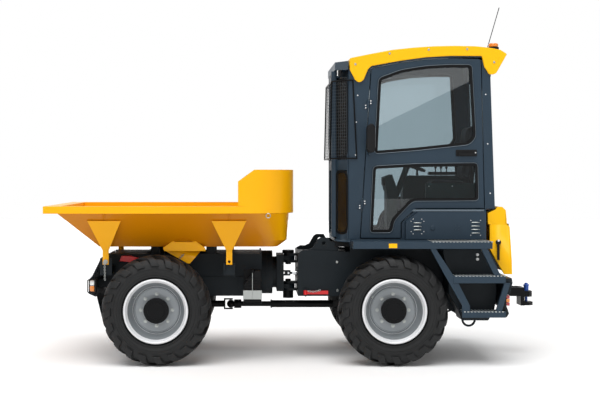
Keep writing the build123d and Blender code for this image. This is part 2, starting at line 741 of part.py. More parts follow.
# ---------------------------------------------------------------- steps and mudguards
def step_frames():
    y0, y1, y2 = -step_outer_y, -step_outer_y + sheet, -step_outer_y + 50
    solids = [
        block(fender_front_x, fender_rear_x, y0, -cab_half_width - 1, fender_top_z - sheet, fender_top_z),
        block(fender_front_x, fender_rear_x, y0, y1, fender_skirt_z, fender_top_z - sheet),
        block(fender_front_x, fender_front_x + sheet, y1, -cab_half_width - 1, fender_skirt_z, fender_top_z - sheet),
        side_plate([(1291, 1160), (1345, 1160), (1519, 895), (1519, 823), (1450, 870)], y1, y2),
        side_plate([(1450, 870), (1519, 823), (1565, 823), (1680, 600), (1680, 544), (1603, 544), (1603, 606)],
                   y1, y2),
        side_plate([(1790, 1160), (1850, 1160), (1984, 895), (1922, 895)], y1, y2),
        side_plate([(2018, 823), (2076, 823), (1992, 544), (1936, 544)], y1, y2),
        block(1519, 2030, y0, -820, tread_mid_top - sheet, tread_mid_top),
        block(1519, 2030, y0, y1, tread_mid_low, tread_mid_top - sheet),
        block(1603, 2030, y0, -820, tread_low_top - sheet, tread_low_top),
        block(1603, 2030, y0, y1, tread_low_low, tread_low_top - sheet),
        block(fender_front_x, 1900, -cab_half_width - 1, -rear_frame_half_width, fender_top_z - 60, fender_top_z - 30),
    ]
    return both_sides(solids)


def tanks():
    """Fuel tank on the left and oil tank on the right, behind the steps."""
    y0, y1 = -820, -rear_frame_half_width
    upper = side_plate([(1440, 1150), (1900, 1150), (1985, 1000), (1985, 700), (1500, 700), (1500, 830)], y0, y1)
    lower = side_plate([(1500, 700), (1985, 700), (1960, 540), (1600, 540)], y0, y1)
    belly = side_plate([(1600, 540), (1960, 540), (1905, 430), (1640, 430)], y0 + 20, y1)
    return both_sides([upper, lower, belly])


def rear_bumper():
    outer, middle = step_outer_y - 52, 640
    lower = side_plate([(bumper_x0, 480), (2050, 484), (2072, 519), (2060, 560), (2048, 592), (bumper_x0, 592)],
                       -outer, -middle)
    upper = side_plate([(bumper_x0, 706), (2081, 706), (bumper_x1, 824), (2100, 868), (bumper_x0, 868)],
                       -outer, -middle)
    web = block(bumper_x0, 2046, -outer, -middle, 592, 706)
    centre = block(bumper_x0, bumper_x1, -middle, middle, 560, 868)
    ties = block(1920, bumper_x0, -410, -380, 560, 860)
    loop_x, loop_y, loop_r, loop_z = 1722, -700, 62, 430
    path = Wire([Edge.make_three_point_arc((loop_x - loop_r, loop_y, loop_z), (loop_x, loop_y, loop_z - loop_r),
                                           (loop_x + loop_r, loop_y, loop_z))])
    circle = Wire.make_circle(11, Plane((loop_x - loop_r, loop_y, loop_z), z_dir=(0, 0, -1)))
    loop = Solid.sweep(circle, path=path)
    return both_sides([lower, upper, web, ties, loop]) + [centre]


# ---------------------------------------------------------------- tow hitch
def jaw(z0, z1, reach):
    return level_plate([(2410, -80), (2470, -80), (reach, -45), (reach, 45), (2470, 80), (2410, 80)], z0, z1)


def tow_hitch():
    hole = bar((hitch_pin_x, 0, jaw_low[0] - 1), (hitch_pin_x, 0, jaw_high[1] + 1), hitch_pin_radius + pin_play)
    plate_ = block(bumper_x1, bumper_x1 + 20, -170, 170, 590, 740)
    arms = both_sides([block(bumper_x1 + 20, 2370, -110, -90, 610, 700)])
    back = block(2370, 2410, -110, 110, jaw_low[0], 700)
    return [plate_] + arms + [back, less(jaw(*jaw_low, tail_x), hole), less(jaw(*jaw_high, tail_x - 8), hole)]


def hitch_pin():
    x = hitch_pin_x
    return [fused(bar((x, 0, 505), (x, 0, 690), hitch_pin_radius),
                  bar((x, 0, jaw_high[1] + joint_gap), (x, 0, 722), 26))]


# ---------------------------------------------------------------- cab
def outline_plate(outline, grow, y0, y1, corner=0):
    """Side plate of an outline, grown or shrunk, with rounded corners."""
    face = polygon([(x, y0, z) for x, z in outline])
    if corner:
        face = face.fillet_2d(corner, face.vertices())
    if grow:
        kind = Kind.ARC if corner else Kind.INTERSECTION
        face = Face(face.outer_wire().offset_2d(grow, kind))
    return Solid.extrude(face, Vector(0, y1 - y0, 0))


def sliced(solid):
    """The same plate cut at the pillar lines, so that each length of frame is a piece of its own."""
    found = []
    for x0, x1 in zip(cut_stations, cut_stations[1:]):
        part = solid.intersect(block(x0, x1, -800, 800, 1000, 3300))
        if part:
            found += list(part.solids())
    return found


def corner_point(s, depth, z):
    """Point on the angled corner of the cab: s along it from the front, depth behind its skin."""
    length = hypot(cab_corner_x - cab_front_x, cab_half_width - cab_front_half_width)
    dx, dy = (cab_corner_x - cab_front_x) / length, -(cab_half_width - cab_front_half_width) / length
    return (cab_front_x + s * dx - depth * dy, -cab_front_half_width + s * dy + depth * dx, z)


def corner_prism(s0, s1, z0, z1, d0, d1, corner=0):
    face = polygon([corner_point(s, d0, z) for s, z in ((s0, z0), (s1, z0), (s1, z1), (s0, z1))])
    if corner:
        face = face.fillet_2d(corner, face.vertices())
    a, b = corner_point(0, d0, 0), corner_point(0, d1, 0)
    return Solid.extrude(face, Vector(b[0] - a[0], b[1] - a[1], 0))


def corner_panel():
    """Angled corner between the windscreen and the side, as posts and cross pieces round two windows."""
    post, depth = 34, 30
    long = corner_length
    (a0, a1), (b0, b1) = corner_windows
    bands = [(cab_floor_z, a0), (a1, b0), (b1, cab_top_of_front)]
    solids = [corner_prism(0, post, cab_floor_z, cab_top_of_front, 0, depth),
              corner_prism(long - post, long, cab_floor_z, cab_top_of_front, 0, depth)]
    solids += [corner_prism(post, long - post, z0, z1, 0, depth) for z0, z1 in bands]
    return solids


def corner_panes():
    post = 34
    return [corner_prism(post, corner_length - post, z0, z1, 12, 12 + glass_thickness) for z0, z1 in corner_windows]


def cab_frame():
    y0, y1 = -cab_half_width, -cab_half_width + cab_wall
    inner, half, x0 = cab_half_width - cab_wall, cab_front_half_width, cab_front_x
    left = less(side_plate(side_outline, y0, y1), outline_plate(door_outline, door_gap, y0 - 1, y1 + 1))
    right = less(side_plate(side_outline, -y1, -y0), outline_plate(upper_window, 0, -y1 - 1, -y0 + 1, window_corner),
                 outline_plate(lower_window, 0, -y1 - 1, -y0 + 1, window_corner))
    (a0, a1), (b0, b1) = corner_windows
    front = [block(x0, x0 + 40, -half, half, z0, z1)
             for z0, z1 in ((cab_floor_z, a0), (a1, b0), (b1, cab_top_of_front))]
    posts = both_sides([block(x0, x0 + 40, -half, -half + 40, z0, z1) for z0, z1 in (corner_windows)])
    floor = level_plate(
        [(x0, -half), (cab_corner_x, -cab_half_width), (1907, -cab_half_width), (1907, cab_half_width),
         (cab_corner_x, cab_half_width), (x0, half)], cab_floor_z - 30, cab_floor_z)
    rear = [
        side_plate([(1907, 1545), (1998, 1545), (1989, 1780), (1950, 1780)], -inner, inner),
        side_plate([(1900, 2880), (1941, 2880), (1928, 3060), (1888, 3060)], -inner, inner),
        block(1887, 1907, -inner, inner, cab_floor_z, 1545),
        block(1150, 1887, -inner, inner, seat_deck_z - 16, seat_deck_z),
        block(1150, 1170, -inner, inner, cab_floor_z, seat_deck_z - 16),
    ]
    x, z, r = hood_hinge_x, hood_hinge_z, 4
    hood_pins = both_sides([bar((x, -560, z), (x, -440, z), r), block(1998, x, -540, -460, z - r, z + r)])
    roof_line = [(cab_corner_x, 2930), (737, 2980), (1298, 3066), (1550, 3078), (1850, 3072), (1888, 3060)]
    roof = [side_plate([(xa, za), (xb, zb), (xb, zb + 16), (xa, za + 16)], -inner, inner)
            for (xa, za), (xb, zb) in zip(roof_line, roof_line[1:])]
    visor = side_plate([(384, cab_top_of_front), (384, 3028), (521, 3045), (521, cab_top_of_front)], -590, 590)
    return (sliced(left) + sliced(right) + [floor, visor, mirror_stalk(1)] + front + posts
            + both_sides(corner_panel()) + rear + hood_pins + roof)


def cab_glass():
    """Windscreens, corner look-outs, rear window and the right-hand side windows."""
    half, x = cab_front_half_width - 40, cab_front_x + 14
    inner = cab_half_width - cab_wall
    panes = [block(x, x + glass_thickness, -half, half, z0, z1) for z0, z1 in corner_windows]
    panes.append(side_plate([(1960, 1780), (1966, 1780), (1922, 2880), (1916, 2880)], -inner, inner))
    y = cab_half_width - 26
    panes += [outline_plate(w, -0.2, y, y + glass_thickness, window_corner) for w in (upper_window, lower_window)]
    return panes + both_sides(corner_panes())


def line_at(points, x):
    for (xa, za), (xb, zb) in zip(points, points[1:]):
        if xa <= x <= xb:
            return za + (zb - za) * (x - xa) / (xb - xa)


def roof_cap():
    """Moulded roof: crown panels, side bands and the drooping corner ears."""
    y = cab_half_width
    crown = [side_plate([(xa, ua), (xb, ub), (xb, zb), (xa, za)], -y, y)
             for (xa, za), (xb, zb), (_, ua), (_, ub) in zip(roof_top, roof_top[1:], roof_under, roof_under[1:])]
    band_low = [(745, 2985), (1047, 3040), (1298, 3074), (1550, 3092), (1858, 3100)]
    bands = []
    for (xa, za), (xb, zb) in zip(band_low, band_low[1:]):
        tops = [(x, line_at(roof_top, x)) for x in (xb, xa)]
        bands.append(side_plate([(xa, za), (xb, zb)] + tops, -roof_edge_y, -y))
    front_ear = side_plate([(528, 3066), (745, line_at(roof_top, 745)), (745, 2985), (712, 2949), (671, 2850),
                            (640, 2823), (610, 2823), (579, 2850), (528, 2949)], -roof_edge_y, -y)
    rear_ear = side_plate([(1858, line_at(roof_top, 1858)), (2051, 3150), (2118, 3107), (2009, 2914),
                           (1975, 2899), (1934, 2903), (1884, 2982), (1858, 3100)], -roof_edge_y, -y)
    return crown + both_sides(bands + [front_ear, rear_ear])


def bolt_square(x, z, y, spread, radius, length):
    return [bar((x + i * spread, y, z + j * spread), (x + i * spread, y - length, z + j * spread), radius)
            for i in (-1, 1) for j in (-1, 1)]


def cab_bolts():
    """Screws along the roof's edge, and the cluster on the side cover."""
    roof = [bar((x, -roof_edge_y, z), (x, -roof_edge_y - 5, z), 11) for x, z in roof_bolt_points]
    cover = bolt_square(1613, 1351, -cover_y, 17, 7, 5)
    return both_sides(roof + cover)


def side_panels():
    """Service covers under the door line, with their louvres' frames."""
    y = -cab_half_width - 0.5
    body = side_plate([(1090, 1235), (1090, 1412), (1217, 1515), (1900, 1515), (1900, 1235)], -cover_y, y)
    top = Solid.make_loft([
        Wire.make_polygon([(1217, -cover_y, 1515), (1900, -cover_y, 1515), (1900, y, 1515), (1217, y, 1515)],
                          close=True),
        Wire.make_polygon([(1232, y - 20, 1531), (1900, y - 20, 1531), (1900, y, 1531), (1232, y, 1531)],
                          close=True)], True)
    cap = bar((1360, -cover_y, 1351), (1360, -cover_y - 8, 1351), 22)
    return both_sides([body, top, cap])


def hinge_axis_x(z):
    (xa, za), (xb, zb) = hinge_low, hinge_high
    return xa + (xb - xa) * (z - za) / (zb - za) - 4


def knuckle(z0, z1, radius, bore):
    a, b = (hinge_axis_x(z0), hinge_y, z0), (hinge_axis_x(z1), hinge_y, z1)
    solid = bar(a, b, radius)
    return less(solid, bar(a, b, bore)) if bore else solid


def door_hinges():
    """Fixed halves of the door hinges, with their pins."""
    solids = []
    for _, z in (hinge_low, hinge_high):
        x = hinge_axis_x(z)
        leaf = block(x - 52, x, -cab_half_width - 8, -cab_half_width, z - 45, z - 2)
        solids += [leaf.fuse(knuckle(z - 40, z - 2, 12.3, 0)).solid(), knuckle(z - 2, z + 40, 6, 0)]
    return solids


def door_frame():
    y0 = -cab_half_width - door_proud
    y1 = y0 + door_thickness
    plate_ = side_plate(door_outline, y0, y1)
    plate_ = less(plate_, *[outline_plate(w, 0, y0 - 1, y1 + 1, window_corner) for w in (upper_window, lower_window)])
    solids = sliced(plate_)
    for _, z in (hinge_low, hinge_high):
        x = hinge_axis_x(z)
        leaf = block(x + 7, x + 56, y0 - 6, y0, z + 2, z + 40)
        barrel = knuckle(z + 2, z + 40, 11, 6 + pin_play)
        solids.append(less(leaf.fuse(barrel).solid(), knuckle(z, z + 42, 6 + pin_play, 0)))
    return solids + [mirror_stalk(-1)]


def door_glass():
    y = -cab_half_width - door_proud + 16
    return [outline_plate(w, -0.2, y, y + glass_thickness, window_corner) for w in (upper_window, lower_window)]


def door_handle():
    y = -cab_half_width - door_proud
    pivot = bar((handle_x, y - joint_gap, 2095), (handle_x, y - 34, 2095), 16)
    return [fused(pivot, block(handle_x, 1790, y - 34, y - 16, 2082, 2108))]


def mirror_stalk(side):
    wall = side * (cab_half_width + (door_proud if side < 0 else 0))
    x, y, z = mirror_x, side * mirror_y, mirror_foot_z
    arm = bar((x, wall, z), (x, y, z), 10)
    return fused(arm, Solid.make_sphere(10, Plane((x, y, z)), -90, 90, 360), bar((x, y, z), (x, y, 2108), 10))


def mirror_head(side):
    y0, y1 = sorted((side * (mirror_y - 95), side * (mirror_y + 95)))
    z0 = 2108 + joint_gap
    return [side_plate([(704, z0), (690, 2140), (690, 2360), (712, 2395), (745, 2395), (767, 2360), (767, 2140),
                        (752, z0)], y0, y1)]


def window_guard():
    """Tubular frame of the mesh guard in front of the windscreen."""
    r, reach = guard_tube, cab_half_width + guard_tube
    front_low = (guard_front_low_x, -guard_half_width, guard_low_z)
    front_high = (guard_front_high_x, -guard_half_width, guard_high_z)
    back_low, back_high = (600, -reach, guard_low_z), (561, -reach, guard_high_z)
    bend_low, bend_high = (500, -reach - 16, guard_low_z), (490, -reach - 16, guard_high_z)
    tubes = [bar(front_low, front_high, r), bar(front_low, bend_low, r), bar(front_high, bend_high, r),
             bar(bend_low, back_low, r), bar(bend_high, back_high, r), bar(back_low, back_high, r)]
    cross = [bar((x, -guard_half_width, z), (x, guard_half_width, z), r)
             for x, z in ((guard_front_low_x, guard_low_z), (guard_front_high_x, guard_high_z))]
    t = 3
    front = side_plate([(front_low[0] - t, guard_low_z + r), (front_low[0], guard_low_z + r),
                        (front_high[0], guard_high_z - r), (front_high[0] - t, guard_high_z - r)],
                       -guard_half_width + r, guard_half_width - r)
    wing = Solid.make_loft([mesh_section(front_low, bend_low, guard_low_z + r, t),
                            mesh_section(front_high, bend_high, guard_high_z - r, t)], True)
    return both_sides(tubes + [wing]) + cross + [front]


def mesh_section(near, far, z, thickness):
    """Level slice of a wing's mesh, kept inside its two tubes."""
    (xa, ya, _), (xb, yb, _) = near, far
    long = hypot(xb - xa, yb - ya)
    ux, uy = (xb - xa) / long, (yb - ya) / long
    start, end = guard_tube + 1, long - guard_tube - 1
    corners = [(start, 0), (end, 0), (end, thickness), (start, thickness)]
    return Wire.make_polygon([(xa + s * ux - d * uy, ya + s * uy + d * ux, z) for s, d in corners], close=True)


def lamps():
    """Work lamps under the visor and the tail lamps in the bumper."""
    work = block(405, 450, -600, -548, 2885, cab_top_of_front)
    tail = block(2046, 2078, -980, -850, 596, 702)
    return both_sides([work, tail])


def beacon():
    x, y, r = 2005, -520, 56
    xa, xb = x - 50, x + 44
    base = side_plate([(xa, line_at(roof_top, xa)), (xb, line_at(roof_top, xb)), (xb, 3172), (xa, 3172)],
                      y - 50, y + 50)
    return [base, bar((x, y, 3172), (x, y, 3228), r)]


def antenna():
    x, y = 1971, -350
    z = line_at(roof_top, x)
    foot = side_plate([(x - 20, line_at(roof_top, x - 20)), (x + 20, line_at(roof_top, x + 20)), (x + 20, z + 22),
                       (x - 20, z + 22)], y - 20, y + 20)
    lean = (2103 - 1986) / (3615 - 3212)
    top_z = 3615
    whip = bar((x, y, z + 22), (x + lean * (top_z - z - 22), y, top_z), 4)
    return [foot, whip]


# ---------------------------------------------------------------- cab interior
def console():
    """Instrument pedestal with the steering column, side consoles and the seat's pedestal."""
    pedestal = block(960, 1060, -150, 150, cab_floor_z, 1720)
    hood = side_plate([(950, 1720), (930, 1860), (1010, 1890), (1070, 1720)], -170, 170)
    column = bar((1060, 0, 1640), (1180, 0, 1958), 32)
    right = block(1180, 1880, 330, 560, seat_deck_z, 1880)
    left = block(1330, 1880, -430, -345, seat_deck_z, 1800)
    rails = [block(1430, 1850, y - 20, y + 20, seat_deck_z, 1600) for y in (-150, 150)]
    brackets = [block(1090, 1130, y - 28, y + 28, cab_floor_z, 1252.7) for y in (-205, 205)]
    return [pedestal, hood, column, right, left] + rails + brackets


def steering_wheel():
    """Rim, three spokes and hub, tilted square to the column."""
    low, high = Vector(1060, 0, 1640), Vector(1180, 0, 1958)
    up = (high - low).normalized()
    centre = high + up * 40
    across = Plane(centre, x_dir=(0, 1, 0), z_dir=up)
    ring_radius, tube_radius = 185, 14
    reach = ring_radius - tube_radius
    rim = Solid.make_torus(ring_radius, tube_radius, across)
    hub = bar(high + up * joint_gap, centre + up * 14, 34)
    spokes = []
    for angle in (0, 120, 240):
        a = radians(angle)
        tip = centre + across.x_dir * (reach * cos(a)) + across.y_dir * (reach * sin(a))
        spokes.append(bar(centre, tip, 10))
    return [rim, fused(hub, *spokes)]


def seat_parts():
    z = 1600 + joint_gap
    shell = [block(1420, 1860, -230, 230, z, z + 110),
             side_plate([(1800, z + 110), (1850, z + 110), (1915, 2380), (1880, 2380)], -200, 200)]
    cushion = side_plate([(1390, 1724), (1390, 1800), (1420, 1832), (1790, 1812), (1798, 1790), (1790, 1710.8),
                          (1420, 1710.8)], -235, 235)
    back = side_plate([(1795, 1822), (1740, 1850), (1800, 2400), (1868, 2420), (1879.5, 2380), (1813, 1822)],
                      -225, 225)
    return shell, [cushion], [back]


def pedal(y):
    """Floor pedal hinged at its heel."""
    heel = bar((1110, y - 26, 1262), (1110, y + 26, 1262), 9)
    pad = side_plate([(1104, 1264), (1112, 1270), (1056, 1404), (1046, 1400)], y - 35, y + 35)
    return [fused(heel, pad)]


def joystick():
    foot_radius, stick, knob_radius = 14, 11, 28
    x, y, z = 1350, 440, 1880 + joint_gap + foot_radius
    foot = bar((x, y - foot_radius, z), (x, y + foot_radius, z), foot_radius)
    knob = Solid.make_sphere(knob_radius, Plane((x, y, z + 116)), -90, 90, 360)
    return [fused(foot, bar((x, y, z), (x, y, z + 116), stick), knob)]


def wiper():
    y, z, x = 0, 2916, cab_front_x
    boss = bar((x - joint_gap, y, z), (x - 9, y, z), 16)
    arm = block(x - 9, x - 3, y - 9, y + 9, 2400, z)
    blade = block(x - 3, x + 13.7, y - 5, y + 5, 2390, 2850)
    return [fused(boss, arm, blade)]


# ---------------------------------------------------------------- hood
def hood():
    """Engine hood: two cheeks, a stepped back and a rounded brow, hollow inside."""
    t, y = 14, cab_half_width
    low = side_plate([(1945, 1135), (1945, 1388), (2115, 1388), (2149, 1362), (2171, 1022), (2175, 880), (2090, 880)],
                     -y, -y + t)
    high = side_plate([(hood_front_x, 1388), (hood_front_x, 1495), (1945, 1508), (2005, 1536), (2032, 1566), (2075, 1562),
                       (2110, 1528), (2115, 1388)], -y, -y + t)
    inner = y - t
    back = [
        side_plate([(2171, 1022), (2175, 880), (2161, 880), (2157, 1022)], -inner, inner),
        side_plate([(2149, 1362), (2171, 1022), (2157, 1022), (2135, 1362)], -inner, inner),
        side_plate([(2115, 1388), (2149, 1362), (2135, 1362), (2101, 1380)], -inner, inner),
        side_plate([(2110, 1528), (2115, 1388), (2101, 1388), (2096, 1528)], -inner, inner),
        side_plate([(2075, 1562), (2110, 1528), (2096, 1528), (2070, 1550)], -inner, inner),
        side_plate([(2032, 1566), (2075, 1562), (2070, 1549), (2034, 1550)], -inner, inner),
        side_plate([(2005, 1536), (2032, 1566), (2034, 1550), (2009, 1522)], -inner, inner),
        side_plate([(1945, 1508), (2005, 1536), (2009, 1522), (1951, 1494)], -inner, inner),
    ]
    return both_sides([low, high]) + back


def hood_latch():
    y = -cab_half_width
    boss = bar((2030, y - joint_gap, 1205), (2030, y - 30, 1205), 26)
    strap = block(2018, 2042, y - 26, y - 12, 1026, 1205)
    return [fused(boss, strap)]


# ---------------------------------------------------------------- all nodes
os.makedirs("parts", exist_ok=True)

barrel, stage, rod = ram_parts()
tube, steering_rod = steering_cylinder()
seat_shell, seat_cushion, seat_back = seat_parts()

nodes = {
    "rear_chassis": rear_chassis() + lock_bar_pivot(),
    "articulation_pins": articulation_pins(),
    "rear_axle": axle(rear_axle_x, -240) + axle_pads(rear_axle_x, rear_frame_half_width, rear_frame_bottom),
    "engine": engine(),
    "tanks": tanks(),
    "step_frames": step_frames(),
    "rear_bumper": rear_bumper(),
    "lamps": lamps(),
    "tow_hitch": tow_hitch(),
    "steering_barrel": [tube],
    "cab_frame": cab_frame(),
    "cab_glass": cab_glass(),
    "roof_cap": roof_cap(),
    "hinges_and_bolts": door_hinges() + cab_bolts(),
    "side_panels": side_panels(),
    "window_guard": window_guard(),
    "beacon": beacon(),
    "antenna": antenna(),
    "console": console(),
    "centre_link": centre_link(),
    "front_chassis": front_chassis() + swivel_ring(),
    "front_axle": axle(front_axle_x, 330) + axle_pads(front_axle_x, front_frame_half_width, front_frame_bottom)
    + front_coupling(),
    "lock_pins": lock_pins(),
    "front_bumper": front_bumper(),
    "front_lamps": front_lamps(),
    "skip_prop": skip_prop(),
    "wheel_chock": wheel_chock(),
    "skip_body": skip_body(),
    "skip_brackets": skip_brackets(),
    "ram_barrel": [barrel],
    "ram_stage": [stage],
    "ram_rod": [rod],
    "steering_rod": [steering_rod],
    "joint_cross": joint_cross(),
    "drive_shaft": drive_shaft(),
    "door_frame": door_frame(),
    "door_glass": door_glass(),
    "door_handle": door_handle(),
    "mirror_left": mirror_head(-1),
    "mirror_right": mirror_head(1),
    "hood": hood(),
    "hood_latch": hood_latch(),
    "steering_wheel": steering_wheel(),
    "seat_shell": seat_shell,
    "seat_cushion": seat_cushion,
    "seat_back": seat_back,
    "brake_pedal": pedal(-205),
    "throttle_pedal": pedal(205),
    "joystick": joystick(),
    "wiper": wiper(),
    "lock_bar": lock_bar(),
    "hitch_pin": hitch_pin(),
}
for place, x in (("front", front_axle_x), ("rear", rear_axle_x)):
    for name, side in (("left", -1), ("right", 1)):
        tyre, rim = wheel(x, side)
        nodes[f"tyre_{place}_{name}"] = [tyre]
        nodes[f"rim_{place}_{name}"] = rim

for name, solids in nodes.items():
    export_step(Compound(list(solids)), f"parts/{name}.step")
print(len(nodes), "nodes written")
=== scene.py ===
import json
from math import atan2, cos, hypot, pi, radians, sin

import bpy
from mathutils import Matrix, Vector

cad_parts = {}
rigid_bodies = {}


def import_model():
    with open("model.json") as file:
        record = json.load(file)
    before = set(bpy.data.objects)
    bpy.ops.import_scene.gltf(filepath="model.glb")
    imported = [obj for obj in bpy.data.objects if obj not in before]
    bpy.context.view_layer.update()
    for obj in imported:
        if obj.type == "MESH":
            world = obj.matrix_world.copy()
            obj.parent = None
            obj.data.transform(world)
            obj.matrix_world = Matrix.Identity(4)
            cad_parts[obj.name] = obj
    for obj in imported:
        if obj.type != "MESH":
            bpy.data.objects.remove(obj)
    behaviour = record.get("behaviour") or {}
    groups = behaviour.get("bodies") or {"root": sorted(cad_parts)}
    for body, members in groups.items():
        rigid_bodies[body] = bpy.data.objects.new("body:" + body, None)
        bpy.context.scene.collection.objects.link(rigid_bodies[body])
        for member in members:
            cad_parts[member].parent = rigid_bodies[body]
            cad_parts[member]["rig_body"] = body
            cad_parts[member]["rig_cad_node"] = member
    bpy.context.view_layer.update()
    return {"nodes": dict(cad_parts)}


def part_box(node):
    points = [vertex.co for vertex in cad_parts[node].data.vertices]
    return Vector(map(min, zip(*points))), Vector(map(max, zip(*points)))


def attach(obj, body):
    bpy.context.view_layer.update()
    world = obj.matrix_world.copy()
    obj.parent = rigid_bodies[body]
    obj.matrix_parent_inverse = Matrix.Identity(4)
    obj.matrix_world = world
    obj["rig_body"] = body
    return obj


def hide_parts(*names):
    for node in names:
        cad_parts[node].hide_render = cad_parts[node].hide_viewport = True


# Site dumper with a tipping skip. Metres, +X to the tow hitch, driver's left is -Y, ground at Z 0.

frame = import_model()
nodes = frame["nodes"]
mm = 0.001
smoothAngle = radians(35)
print("frame loaded:", len(nodes), "nodes")


# selecting and finishing

def take(obj, *others):
    bpy.ops.object.select_all(action="DESELECT")
    for each in (obj, *others):
        each.select_set(True)
    bpy.context.view_layer.objects.active = obj


def settle(obj, name=None):
    take(obj)
    bpy.ops.object.transform_apply(location=True, rotation=True, scale=True)
    if name:
        obj.name = name
        obj.data.name = name
    return obj


def pick(obj, test):
    # opens the piece in edit mode with only the faces that pass the test selected
    take(obj)
    bpy.ops.object.mode_set(mode="EDIT")
    bpy.ops.mesh.select_mode(type="FACE")
    bpy.ops.mesh.select_all(action="DESELECT")
    bpy.ops.object.mode_set(mode="OBJECT")
    for face in obj.data.polygons:
        face.select = bool(test(face))
    bpy.ops.object.mode_set(mode="EDIT")


def shut():
    bpy.ops.object.mode_set(mode="OBJECT")


def finish(obj, kind, **settings):
    take(obj)
    modifier = obj.modifiers.new(kind.title(), kind)
    for key, value in settings.items():
        setattr(modifier, key, value)
    bpy.ops.object.modifier_apply(modifier=modifier.name)
    return obj


def soften(obj, width, segments=2, angle=30, crease=50):
    finish(obj, "BEVEL", width=width, segments=segments, limit_method="ANGLE", angle_limit=radians(angle))
    smooth(obj, radians(crease))
    return finish(obj, "WEIGHTED_NORMAL", keep_sharp=True, weight=70)


def smooth(obj, angle=smoothAngle):
    take(obj)
    bpy.ops.object.shade_smooth_by_angle(angle=angle)
    return obj


def outward(obj):
    take(obj)
    bpy.ops.object.mode_set(mode="EDIT")
    bpy.ops.mesh.select_all(action="SELECT")
    bpy.ops.mesh.remove_doubles(threshold=0.00005)
    bpy.ops.mesh.normals_make_consistent(inside=False)
    bpy.ops.object.mode_set(mode="OBJECT")
    return obj


def block(name, low, high, bevel=0.0):
    low, high = Vector(low), Vector(high)
    bpy.ops.object.select_all(action="DESELECT")
    bpy.ops.mesh.primitive_cube_add(size=1, location=(low + high) / 2, scale=[abs(d) for d in high - low])
    obj = settle(bpy.context.object, name)
    return soften(obj, bevel) if bevel else obj


def span(sign, near, far):
    # two distances from the middle, in mm, as Y values in order on the side that sign gives
    return sorted((sign * near * mm, sign * far * mm))


def cutAway(obj, cutter):
    finish(obj, "BOOLEAN", operation="DIFFERENCE", solver="EXACT", object=cutter)
    bpy.data.objects.remove(cutter)
    return obj


def rod(name, start, end, radius, sides=24, bevel=0.0):
    start, end = Vector(start), Vector(end)
    run = end - start
    bpy.ops.object.select_all(action="DESELECT")
    bpy.ops.mesh.primitive_cylinder_add(vertices=sides, radius=radius, depth=run.length,
                                        location=(start + end) / 2,
                                        rotation=run.to_track_quat("Z", "Y").to_euler())
    obj = settle(bpy.context.object, name)
    return soften(obj, bevel) if bevel else smooth(obj)


def ball(name, centre, radius, scale=(1, 1, 1), segments=24):
    bpy.ops.object.select_all(action="DESELECT")
    bpy.ops.mesh.primitive_uv_sphere_add(segments=segments, ring_count=segments // 2, radius=radius,
                                         location=centre, scale=scale)
    return smooth(settle(bpy.context.object, name))


def tube(name, points, radius, sides=10, closed=False):
    # a bent tube: a line through the points, given a round section and turned to a mesh
    bpy.ops.object.select_all(action="DESELECT")
    bpy.ops.curve.primitive_bezier_curve_add()
    curve = bpy.context.object
    curve.data.splines.clear()
    spline = curve.data.splines.new("POLY")
    spline.points.add(len(points) - 1)
    for point, place in zip(spline.points, points):
        point.co = (*place, 1)
    spline.use_cyclic_u = closed
    curve.data.dimensions = "3D"
    curve.data.bevel_depth = radius
    curve.data.bevel_resolution = max(sides // 4, 1)
    curve.data.use_fill_caps = True
    take(curve)
    curve.location = (0, 0, 0)
    bpy.ops.object.convert(target="MESH")
    obj = outward(settle(bpy.context.object, name))
    return smooth(obj, radians(50))


def plate(name, outline, low, high, along="Y", bevel=0.0):
    # a flat outline, in the two directions left over, drawn out from low to high
    bpy.ops.object.select_all(action="DESELECT")
    bpy.ops.mesh.primitive_circle_add(vertices=len(outline), radius=1, fill_type="NGON")
    obj = bpy.context.object
    for vertex, (a, b) in zip(obj.data.vertices, outline):
        vertex.co = {"X": (low, a, b), "Y": (a, low, b), "Z": (a, b, low)}[along]
    run = {"X": (high - low, 0, 0), "Y": (0, high - low, 0), "Z": (0, 0, high - low)}[along]
    settle(obj, name)
    pick(obj, lambda face: True)
    bpy.ops.mesh.extrude_region_move(TRANSFORM_OT_translate={"value": run})
    shut()
    outward(obj)
    return soften(obj, bevel) if bevel else obj


def joined(name, parts):
    take(parts[0], *parts[1:])
    if len(parts) > 1:
        bpy.ops.object.join()
    return settle(bpy.context.object, name)


def copied(obj, name, matrix=None):
    take(obj)
    bpy.ops.object.duplicate()
    twin = bpy.context.object
    if matrix is not None:
        twin.data.transform(matrix)
        if matrix.determinant() < 0:
            outward(twin)
    twin.name = name
    twin.data.name = name
    return twin


def put(obj, body, finishName, slotName=None, *stands):
    # gives a finished piece its finish and the body that it rides on
    obj.data.materials.clear()
    obj.data.materials.append(finishes[finishName])
    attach(obj, body)
    if stands:
        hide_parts(*stands)
    return obj


# finishes

def linear(code):
    channels = [int(code[i:i + 2], 16) / 255 for i in (1, 3, 5)]
    return [c / 12.92 if c <= 0.04045 else ((c + 0.055) / 1.055) ** 2.4 for c in channels] + [1.0]


def addNode(tree, kind, settings=None, links=None):
    node = tree.nodes.new(kind)
    for key, value in (settings or {}).items():
        if key in node.inputs:
            node.inputs[key].default_value = value
        else:
            setattr(node, key, value)
    for socket, source in (links or {}).items():
        tree.links.new(source, node.inputs[socket])
    return node


def newFinish(name, colour, rough, **sockets):
    material = bpy.data.materials.new(name)
    material.use_nodes = True
    tree = material.node_tree
    tree.nodes.clear()
    surface = addNode(tree, "ShaderNodeBsdfPrincipled",
                      {"Base Color": linear(colour), "Roughness": rough, **sockets})
    addNode(tree, "ShaderNodeOutputMaterial", links={"Surface": surface.outputs["BSDF"]})
    return material, tree, surface


